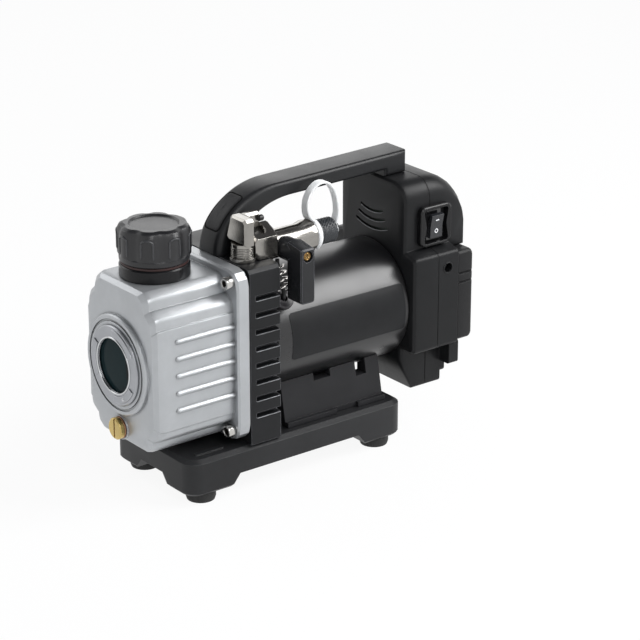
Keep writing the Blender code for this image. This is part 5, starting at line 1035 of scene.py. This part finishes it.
def on_rocker(across, up, lift):
    """Point on the rocker's face, raised by lift towards the user."""
    start = Vector((rocker_middle.x + across, rocker_near - MARK_RAY_START, rocker_middle.z + up))
    place, normal, _, _ = rocker_face.ray_cast(start, Vector((0, 1, 0)))
    return place + normal * lift


MARK_LIFT = 0.00008
MARK_SUNK = 0.0001
OFF_HEIGHT = -0.0042
OFF_INNER = 0.0011
OFF_OUTER = 0.0018
OFF_ROUND = 40
OFF_PROFILE = ((OFF_INNER, -MARK_SUNK), (OFF_INNER, MARK_LIFT), (OFF_OUTER, MARK_LIFT),
               (OFF_OUTER, -MARK_SUNK))
off_rings = []
for u, v in circle_points(1.0, OFF_ROUND):
    off_rings.append([on_rocker(size * u, OFF_HEIGHT + size * v, lift) for size, lift in OFF_PROFILE])
off_mark = skin("rocker_off_mark", off_rings, mark_white, closed=True)
ON_HEIGHT = 0.0048
ON_HALF_LENGTH = 0.0017
ON_HALF_WIDTH = 0.0004
ON_CORNER = 0.0002
on_loop = rounded_loop(ON_HALF_LENGTH, ON_HALF_WIDTH, ON_CORNER, parts=2)
on_rings = [[on_rocker(u, ON_HEIGHT + v, lift) for u, v in on_loop] for lift in (-MARK_SUNK, MARK_LIFT)]
on_mark = skin("rocker_on_mark", on_rings, mark_white)
for mark in (off_mark, on_mark):
    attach(mark, "rocker")


# Battery pack: a black slide-on pack behind the housing, with grip grooves along its
# sides and a spring latch button at the back.

pack_black = finish("pack_black", (0.0095, 0.0095, 0.0102), 0.42, shine=0.20, mottle=0.14, grain=0.32,
                    edge=0.0009, wear_and_sheen=0.3, worn_and_sheen_colour=(0.12, 0.12, 0.125))
latch_black = finish("latch_black", (0.012, 0.012, 0.013), 0.28, mottle=0.15, grain=0.12)
dress(pack_black, "battery_pack")
dress(latch_black, "battery_release")
latch_low, latch_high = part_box("battery_release")
RIDGE_COUNT = 5
RIDGE_PITCH = 0.0016
RIDGE_MARGIN = 0.0028
RIDGE_HALF = (latch_high[1] - latch_low[1]) / 2 - RIDGE_MARGIN
RIDGE_TAPER = 0.0006
RIDGE_OUTLINE = ((0.0, -0.0005), (0.0004, -0.0003), (0.0005, 0.0), (0.0004, 0.0003), (0.0, 0.0005),
                 (-0.0003, 0.0))
ridge_rings = tapered_bar("Y", -RIDGE_HALF, RIDGE_HALF, RIDGE_TAPER, RIDGE_OUTLINE)
latch_ridges = skin("latch_ridges", ridge_rings, latch_black)
latch_middle = middle("battery_release")
repeat(latch_ridges, RIDGE_COUNT, step=(0, 0, RIDGE_PITCH),
       centre=(latch_high[0], latch_middle.y, latch_middle.z - RIDGE_PITCH * (RIDGE_COUNT - 1) / 2))
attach(latch_ridges, "release")


# Inlet: a threaded nipple in the top of the centre plate, a cast elbow with a bevelled
# block on it and a big hexagon union, all bright nickel over brass with a warm tint.

# The nickel's creases are darkened as painted shade, and its edges are painted lighter as wear and painted
# highlight.
nickel = finish("nickel", (0.32, 0.308, 0.288), 0.18, metallic=1.0, mottle=0.22, grain=0.08,
                grain_size=0.0012, edge=0.0004, wear_and_sheen=0.25, worn_and_sheen_colour=(0.60, 0.585, 0.555), painted_shade=0.6,
                painted_shade_reach=0.0025)
dress(nickel, "inlet_nipple", "valve_body")
elbow_low, elbow_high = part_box("inlet_elbow")
ELBOW_WIDER_NEAR = 0.0020
ELBOW_WIDER_FAR = 0.0015
ELBOW_NEAR = elbow_low[1] - ELBOW_WIDER_NEAR
ELBOW_FAR = elbow_high[1] + ELBOW_WIDER_FAR
ELBOW_FOOT = elbow_low[2]
ELBOW_HEAD = elbow_high[2]
ELBOW_BEVEL = 0.0020
ELBOW_CHAMFER = ELBOW_BEVEL * 0.8
ELBOW_LEAN = 0.0042
ELBOW_BLOCK = 0.0090
BLOCK_EDGE = 0.0012
NECK_NEAR = 0.0130
NECK_FOOT = 0.0016
NECK_TRIM = 0.0004
NECK_STEP = 0.0020
NECK_SEAT = 0.0002


def elbow_section(x, near, foot, trim):
    """Ring of the elbow seen along the line, with its top edges bevelled."""
    low, high = foot + trim, ELBOW_HEAD - trim
    left, right = ELBOW_FAR - trim, near + trim
    bevel = ELBOW_BEVEL
    lean = left - ELBOW_LEAN
    outline = [(right, low), (right, high - bevel), (right + bevel, high), (lean - bevel, high),
               (lean, high - bevel), (left, low + bevel), (left - bevel, low)]
    return [Vector((x, y, z)) for y, z in outline]


neck_near = ELBOW_NEAR + NECK_NEAR
neck_foot = ELBOW_FOOT + NECK_FOOT
block_end = elbow_low[0] + ELBOW_BLOCK
elbow_rings = [
    elbow_section(elbow_low[0], ELBOW_NEAR, ELBOW_FOOT, ELBOW_CHAMFER),
    elbow_section(elbow_low[0] + ELBOW_CHAMFER, ELBOW_NEAR, ELBOW_FOOT, 0.0),
    elbow_section(block_end - BLOCK_EDGE, ELBOW_NEAR, ELBOW_FOOT, 0.0),
    elbow_section(block_end, ELBOW_NEAR + BLOCK_EDGE, ELBOW_FOOT, NECK_TRIM),
    elbow_section(block_end + NECK_STEP, neck_near, neck_foot, NECK_TRIM),
    elbow_section(elbow_high[0] + NECK_SEAT, neck_near, neck_foot, NECK_TRIM),
]
cast_elbow = skin("cast_elbow", elbow_rings, nickel, crease=18)
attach(cast_elbow, "pump")
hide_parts("inlet_elbow")

line_axis = middle("flare_cap")
NUT_CORNER = 0.0160
NUT_FLAT = NUT_CORNER * math.cos(math.pi / 6)
NUT_BORE = 0.0085
NUT_START = -0.0484
NUT_END = -0.0277
NUT_LIFT = 0.0050
NUT_SIDE = 0.0025
NUT_BEVEL = 0.0034
NUT_ROUND = 96
NUT_FRONT = ((0.0, NUT_BORE), (0.0, NUT_FLAT - 0.0006), (NUT_BEVEL * 0.35, NUT_FLAT + 0.0005),
             (NUT_BEVEL * 0.7, NUT_CORNER - 0.0007), (NUT_BEVEL, NUT_CORNER))
NUT_BACK = ((NUT_BEVEL * 0.6, NUT_CORNER), (NUT_BEVEL * 0.3, NUT_CORNER - 0.0007), (0.0, NUT_FLAT - 0.0006),
            (0.0, NUT_BORE))
PLATE_GAP = 0.0003
PLATE_STEP = 0.0004


def nut_section(x, turned_radius, floor_height):
    """Ring of the union nut: a hexagon cut back to a turned radius, kept above a floor."""
    ring = []
    for angle in around(NUT_ROUND):
        reach = min(hexagon_reach(NUT_CORNER, angle), turned_radius)
        y = line_axis.y - NUT_SIDE + reach * math.sin(angle)
        z = line_axis.z + NUT_LIFT + reach * math.cos(angle)
        ring.append(Vector((x, y, max(z, floor_height))))
    return ring


clear_plate = plate_high[2] + PLATE_GAP
nut_rings = [nut_section(NUT_START + along, radius, clear_plate) for along, radius in NUT_FRONT]
nut_rings.append(nut_section(plate_high[0] + PLATE_GAP, NUT_CORNER, clear_plate))
nut_rings.append(nut_section(plate_high[0] + PLATE_STEP, NUT_CORNER, 0.0))
nut_rings += [nut_section(NUT_END - along, radius, 0.0) for along, radius in NUT_BACK]
union_nut = skin("union_nut", nut_rings, nickel, crease=24)
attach(union_nut, "pump")

plug_black = finish("plug_black", (0.006, 0.006, 0.007), 0.35, mottle=0.2, grain=0.2)
PLUG_SPOT = (ELBOW_FAR - 0.0125, ELBOW_HEAD - 0.0050)
PLUG_ROOT = 0.0010
PLUG_PROFILE = ((0.0, 0.0024), (0.0030, 0.0024), (0.0038, 0.0017), (0.0038, 0.0009), (0.0026, 0.0008),
                (0.0025, 0.0001))
PLUG_ROUND = 24
plug_rings = turned("X", elbow_high[0] - PLUG_ROOT, PLUG_PROFILE, PLUG_ROUND, PLUG_SPOT)
bleed_plug = skin("bleed_plug", plug_rings, plug_black)
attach(bleed_plug, "pump")

nipple_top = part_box("inlet_nipple")[1][2]
nipple_axis = middle("inlet_nipple")
THREAD_RADIUS = 0.0091
THREAD_PITCH = 0.0013
THREAD_COUNT = 6
THREAD_DROP = 0.0095
THREAD_ROUND = 40
THREAD_PROFILE = ((-0.0008, -0.0005), (0.0004, -0.0001), (0.0004, 0.0001), (-0.0008, 0.0005))
thread_rings = []
for u, v in circle_points(1.0, THREAD_ROUND):
    thread_rings.append([Vector((u * (THREAD_RADIUS + proud), v * (THREAD_RADIUS + proud), rise))
                         for proud, rise in THREAD_PROFILE])
inlet_thread = skin("inlet_thread", thread_rings, nickel, closed=True, crease=25)
repeat(inlet_thread, THREAD_COUNT, step=(0, 0, THREAD_PITCH),
       centre=(nipple_axis.x, nipple_axis.y, nipple_top - THREAD_DROP))
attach(inlet_thread, "pump")


# Valve lever: a black moulded grip on the valve's side, held by a brass screw and turned
# down to close the line. The stem behind it is plain steel.

lever_black = finish("lever_black", (0.017, 0.0175, 0.019), 0.24, shine=0.28, mottle=0.15, grain=0.15,
                     edge=0.0006, wear_and_sheen=0.9, worn_and_sheen_colour=(0.30, 0.31, 0.35))
lever_brass = finish("lever_brass", (0.20, 0.115, 0.04), 0.34, metallic=1.0, mottle=0.35, grain=0.3,
                     wear_and_sheen=0.9, worn_and_sheen_colour=(0.85, 0.66, 0.32))
stem_steel = finish("stem_steel", (0.50, 0.50, 0.51), 0.28, metallic=1.0, mottle=0.1, grain=0.1)
dress(lever_black, "valve_lever")
screw_low_corner, screw_high_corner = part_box("lever_screw")
screw_spot = middle("lever_screw")
screw_centre = (screw_spot.x, screw_spot.z)
SEAT_RADIUS = (screw_high_corner[0] - screw_low_corner[0]) / 2
SEAT_ROUND = 48
BRASS_RADIUS = 0.0033
BRASS_SUNK = 0.0004
CROSS_ARM = 0.0023
CROSS_HALF = 0.0006
CROSS_TAPER = 0.6
CROSS_RIM = 0.0002
CROSS_DEPTH = 0.0012
CROSS_LEAD = 0.0001
BRASS_DOME = 0.0005
BRASS_ROLL = 0.0006
BRASS_HEIGHT = 0.0014
LEAST_SLOPE = 0.0001
SCREW_ROUND = 96


def cross_reach(angle):
    """How far a cross recess reaches at an angle."""
    across = max(abs(math.sin(angle)), abs(math.cos(angle)))
    along = min(abs(math.sin(angle)), abs(math.cos(angle)))
    return min(CROSS_ARM / across, max(CROSS_HALF / max(along, LEAST_SLOPE), CROSS_HALF / across))


cross = outline_from([cross_reach(angle) for angle in around(SCREW_ROUND)])
brass_rows = (
    (CROSS_DEPTH + CROSS_LEAD, circle_points(TIP, SCREW_ROUND)),
    (CROSS_DEPTH, [(CROSS_TAPER * u, CROSS_TAPER * v) for u, v in cross]),
    (CROSS_LEAD, cross),
    (0.0, circle_points(CROSS_ARM + CROSS_RIM, SCREW_ROUND)),
    (CROSS_LEAD, circle_points(BRASS_RADIUS - BRASS_DOME, SCREW_ROUND)),
    (BRASS_ROLL, circle_points(BRASS_RADIUS, SCREW_ROUND)),
    (BRASS_HEIGHT, circle_points(BRASS_RADIUS, SCREW_ROUND)),
)
brass_rings = stacked("Y", screw_low_corner[1] + BRASS_SUNK, brass_rows, screw_centre)
cross_screw = skin("lever_cross_screw", brass_rings, lever_brass)
SEAT_PROFILE = ((0.0016, BRASS_RADIUS - 0.0003), (0.0012, BRASS_RADIUS + 0.0001),
                (0.0002, SEAT_RADIUS - 0.0002), (0.0005, SEAT_RADIUS), (0.0020, SEAT_RADIUS))
seat_rings = turned("Y", screw_low_corner[1], SEAT_PROFILE, SEAT_ROUND, screw_centre)
# The seat round the screw takes the near-black joint colour: painted shade in the recess.
screw_seat = skin("lever_screw_seat", seat_rings, joint_and_shade_dark, capped=False)
for lever_piece in (cross_screw, screw_seat):
    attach(lever_piece, "lever")
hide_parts("lever_screw")
dress(stem_steel, "valve_stem")


# Flare cap: a black plastic cap with a slanting knurl that closes the hose end. A soft
# white strap, moulded in one loop, keeps it with the valve.

cap_gloss = finish("flare_cap_black", (0.024, 0.027, 0.031), 0.30, mottle=0.15, grain=0.1, edge=0.0004,
                   wear_and_sheen=0.4, worn_and_sheen_colour=(0.14, 0.15, 0.16))
flare_low, flare_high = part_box("flare_cap")
flare_centre = (line_axis.y, line_axis.z)
FLARE_RADIUS = (flare_high[2] - flare_low[2]) / 2
FLARE_LENGTH = 0.0158
STUD_RADIUS = 0.0028
KNURL_COUNT = 24
KNURL_DEPTH = 0.0010
KNURL_SLANT = 95.0
KNURL_ROUND = 180
KNURL_START = 0.0022
KNURL_MARGINS = 0.0042
KNURL_STEPS = 12
FLARE_MOUTH = ((0.0060, 0.0077), (0.0, 0.0078), (0.0, FLARE_RADIUS - 0.0014), (0.0006, FLARE_RADIUS - 0.0008),
               (0.0016, FLARE_RADIUS - 0.0008))
FLARE_SHOULDER = ((FLARE_LENGTH - 0.0012, FLARE_RADIUS - 0.0006), (FLARE_LENGTH, FLARE_RADIUS - 0.0022),
                  (FLARE_LENGTH, STUD_RADIUS))
STUD_HEAD = ((-0.0016, STUD_RADIUS), (-0.0016, 0.0042), (-0.0004, 0.0046), (0.0, 0.0036))


def knurl_outline(along):
    """Outline of the cap's side with its slanting grooves, at a distance along the cap."""
    reaches = []
    for angle in around(KNURL_ROUND):
        wave = abs(math.sin(0.5 * KNURL_COUNT * (angle + KNURL_SLANT * along)))
        reaches.append(FLARE_RADIUS - KNURL_DEPTH * (1 - wave))
    return outline_from(reaches)


flare_rings = turned("X", flare_low[0], FLARE_MOUTH, KNURL_ROUND, flare_centre)
for number in range(KNURL_STEPS + 1):
    along = KNURL_START + (FLARE_LENGTH - KNURL_MARGINS) * number / KNURL_STEPS
    flare_rings.append(lay("X", flare_low[0] + along, knurl_outline(along), flare_centre))
flare_rings += turned("X", flare_low[0], FLARE_SHOULDER, KNURL_ROUND, flare_centre)
flare_rings += turned("X", flare_high[0], STUD_HEAD, KNURL_ROUND, flare_centre)
knurled_cap = skin("knurled_cap", flare_rings, cap_gloss, crease=40)
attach(knurled_cap, "flare_cap")
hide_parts("flare_cap")

strap_white = finish("strap_white", (0.90, 0.91, 0.91), 0.36, mottle=0.04, grain=0.08, edge=0.0006)
set_inputs(strap_white.node_tree.nodes["Principled BSDF"], {
    "Subsurface Weight": 0.5, "Subsurface Radius": (0.004, 0.004, 0.004), "Transmission Weight": 0.12})
STRAP_START = 0.0138
STRAP_END = 0.0182
STRAP_INNER = 0.0089
STRAP_OUTER = 0.0122
STRAP_EDGE = 0.0008
STRAP_ROUND = 56
STRAP_PROFILE = ((STRAP_START, STRAP_INNER), (STRAP_START, STRAP_OUTER - STRAP_EDGE),
                 (STRAP_START + STRAP_EDGE, STRAP_OUTER), (STRAP_END - STRAP_EDGE, STRAP_OUTER),
                 (STRAP_END, STRAP_OUTER - STRAP_EDGE), (STRAP_END, STRAP_INNER))
strap_rings = turned("X", 0.0, STRAP_PROFILE, STRAP_ROUND, flare_centre)
strap_ring = skin("strap_ring", strap_rings, strap_white, closed=True, crease=50)
EYE_START = 0.03535
EYE_END = 0.03700
EYE_GAP = 0.0003
EYE_INNER = STUD_RADIUS + EYE_GAP
EYE_OUTER = 0.0058
EYE_ROUND = 40
EYE_PROFILE = ((EYE_START, EYE_INNER), (EYE_START, EYE_OUTER), (EYE_END, EYE_OUTER), (EYE_END, EYE_INNER))
eye_rings = turned("X", 0.0, EYE_PROFILE, EYE_ROUND, flare_centre)
strap_eye = skin("strap_eye", eye_rings, strap_white, closed=True, crease=50)

# Each row of the loop is x, z, half the strap's width and its thickness.
LOOP_PATH = (
    (0.0150, 0.1920, 0.0062, 0.0026), (0.0118, 0.1952, 0.0052, 0.0024), (0.0098, 0.2010, 0.0041, 0.0021),
    (0.0102, 0.2085, 0.0037, 0.0020), (0.0138, 0.2152, 0.0036, 0.0019), (0.0196, 0.2196, 0.0036, 0.0019),
    (0.0260, 0.2203, 0.0036, 0.0019), (0.0318, 0.2172, 0.0036, 0.0019), (0.0362, 0.2105, 0.0036, 0.0019),
    (0.0386, 0.2020, 0.0036, 0.0019), (0.0392, 0.1940, 0.0036, 0.0018), (0.0378, 0.1882, 0.0038, 0.0017),
    (0.0362, 0.1850, 0.0040, 0.0016),
)
LOOP_SECTION = ((-1, -0.3), (-0.86, -1), (-0.3, -1), (0.3, -1), (0.86, -1), (1, -0.3), (1, 0.3), (0.86, 1),
                (0.3, 1), (-0.3, 1), (-0.86, 1), (-1, 0.3))
LOOP_PARTS = 6


def eased(path, parts):
    """Smooth curve through rows of numbers, with parts steps between rows."""
    rows = [path[0]] + list(path) + [path[-1]]
    curve = []
    for index in range(1, len(rows) - 2):
        for number in range(parts):
            t = number / parts
            curve.append([0.5 * (2 * b + (c - a) * t + (2 * a - 5 * b + 4 * c - d) * t ** 2
                                 + (3 * b - a - 3 * c + d) * t ** 3)
                          for a, b, c, d in zip(*rows[index - 1:index + 3])])
    return curve + [list(path[-1])]


loop_curve = eased(LOOP_PATH, LOOP_PARTS)
loop_rings = []
last_row = len(loop_curve) - 1
for index, (x, z, half, thick) in enumerate(loop_curve):
    before = loop_curve[max(index - 1, 0)]
    after = loop_curve[min(index + 1, last_row)]
    along = Vector((after[0] - before[0], 0.0, after[1] - before[1])).normalized()
    out = Vector((along.z, 0.0, -along.x))
    place = Vector((x, line_axis.y, z))
    loop_rings.append([place + out * (thick / 2 * v) + Vector((0.0, half * u, 0.0)) for u, v in LOOP_SECTION])
strap_loop = skin("strap_loop", loop_rings, strap_white, crease=50)
for strap_piece in (strap_ring, strap_eye, strap_loop):
    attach(strap_piece, "pump")
    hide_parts("tether_strap")


# Lead: a thin rubber lead that rises from a grommet in the motor into the valve, with a
# steel spring round it against kinking.

lead_rubber = finish("lead_rubber", (0.015, 0.015, 0.016), 0.5, mottle=0.2, grain=0.2)
grommet_rubber = finish("grommet_rubber", (0.030, 0.028, 0.032), 0.38, mottle=0.2, grain=0.15, edge=0.0006)
spring_steel = finish("spring_steel", (0.72, 0.70, 0.68), 0.22, metallic=1.0, mottle=0.15, grain=0.05,
                      edge=0.0001)
dress(lead_rubber, "sensor_lead")
dress(grommet_rubber, "cable_grommet")
COIL_FOOT = Vector((-0.02195, -0.0332, 0.1475))
COIL_HEAD = Vector((-0.02195, -0.0246, 0.1652))
COIL_FOOT_RADIUS = 0.0062
COIL_HEAD_RADIUS = 0.0046
COIL_TURNS = 4
COIL_WIRE = 0.00080
COIL_STEPS = 40
coil_line = (COIL_HEAD - COIL_FOOT).normalized()
coil_other = coil_line.cross(BACKWARD)
coil_path = []
for index in range(COIL_TURNS * COIL_STEPS + 1):
    part = index / (COIL_TURNS * COIL_STEPS)
    size = COIL_FOOT_RADIUS + (COIL_HEAD_RADIUS - COIL_FOOT_RADIUS) * part
    angle = math.tau * COIL_TURNS * part
    swing = math.cos(angle) * BACKWARD + math.sin(angle) * coil_other
    coil_path.append(COIL_FOOT.lerp(COIL_HEAD, part) + size * swing)
spring_coil = bead("spring_coil", coil_path, COIL_WIRE, spring_steel, sides=10)
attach(spring_coil, "pump")
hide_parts("spring_guard")


# Inside: the motor's running parts, the vane pump and the electrics. They only show when
# a cover is off or the battery is slid away.

inner_steel = finish("inner_steel", (0.46, 0.46, 0.47), 0.3, metallic=1.0, mottle=0.12, grain=0.15)
winding_copper = finish("winding_copper", (0.55, 0.26, 0.12), 0.35, metallic=1.0, mottle=0.25, grain=0.5,
                        grain_size=0.0008)
magnet_dark = finish("magnet_dark", (0.05, 0.05, 0.052), 0.6, mottle=0.2, grain=0.4)
vane_dark = finish("vane_dark", (0.06, 0.06, 0.062), 0.4, metallic=0.6, mottle=0.2, grain=0.2)
board_green = finish("board_green", (0.006, 0.020, 0.011), 0.45, mottle=0.3, grain=0.3)
fan_black = finish("fan_black", (0.02, 0.02, 0.021), 0.5, mottle=0.2, grain=0.3)
end_cast = finish("end_cast", (0.5, 0.5, 0.51), 0.4, metallic=0.9, mottle=0.1, grain=0.3)
contact_black = finish("contact_black", (0.015, 0.015, 0.016), 0.4, mottle=0.2, grain=0.2)
dress(inner_steel, "motor_shaft", "front_bearing", "rear_bearing", "pump_cylinder", "cylinder_cover",
      "pump_rotor")
dress(winding_copper, "motor_armature")
dress(magnet_dark, "magnet_ring")
dress(vane_dark, "pump_vane_upper", "pump_vane_lower")
dress(board_green, "control_board")
dress(fan_black, "cooling_fan")
dress(end_cast, "motor_end_cap")
dress(contact_black, "battery_terminals")
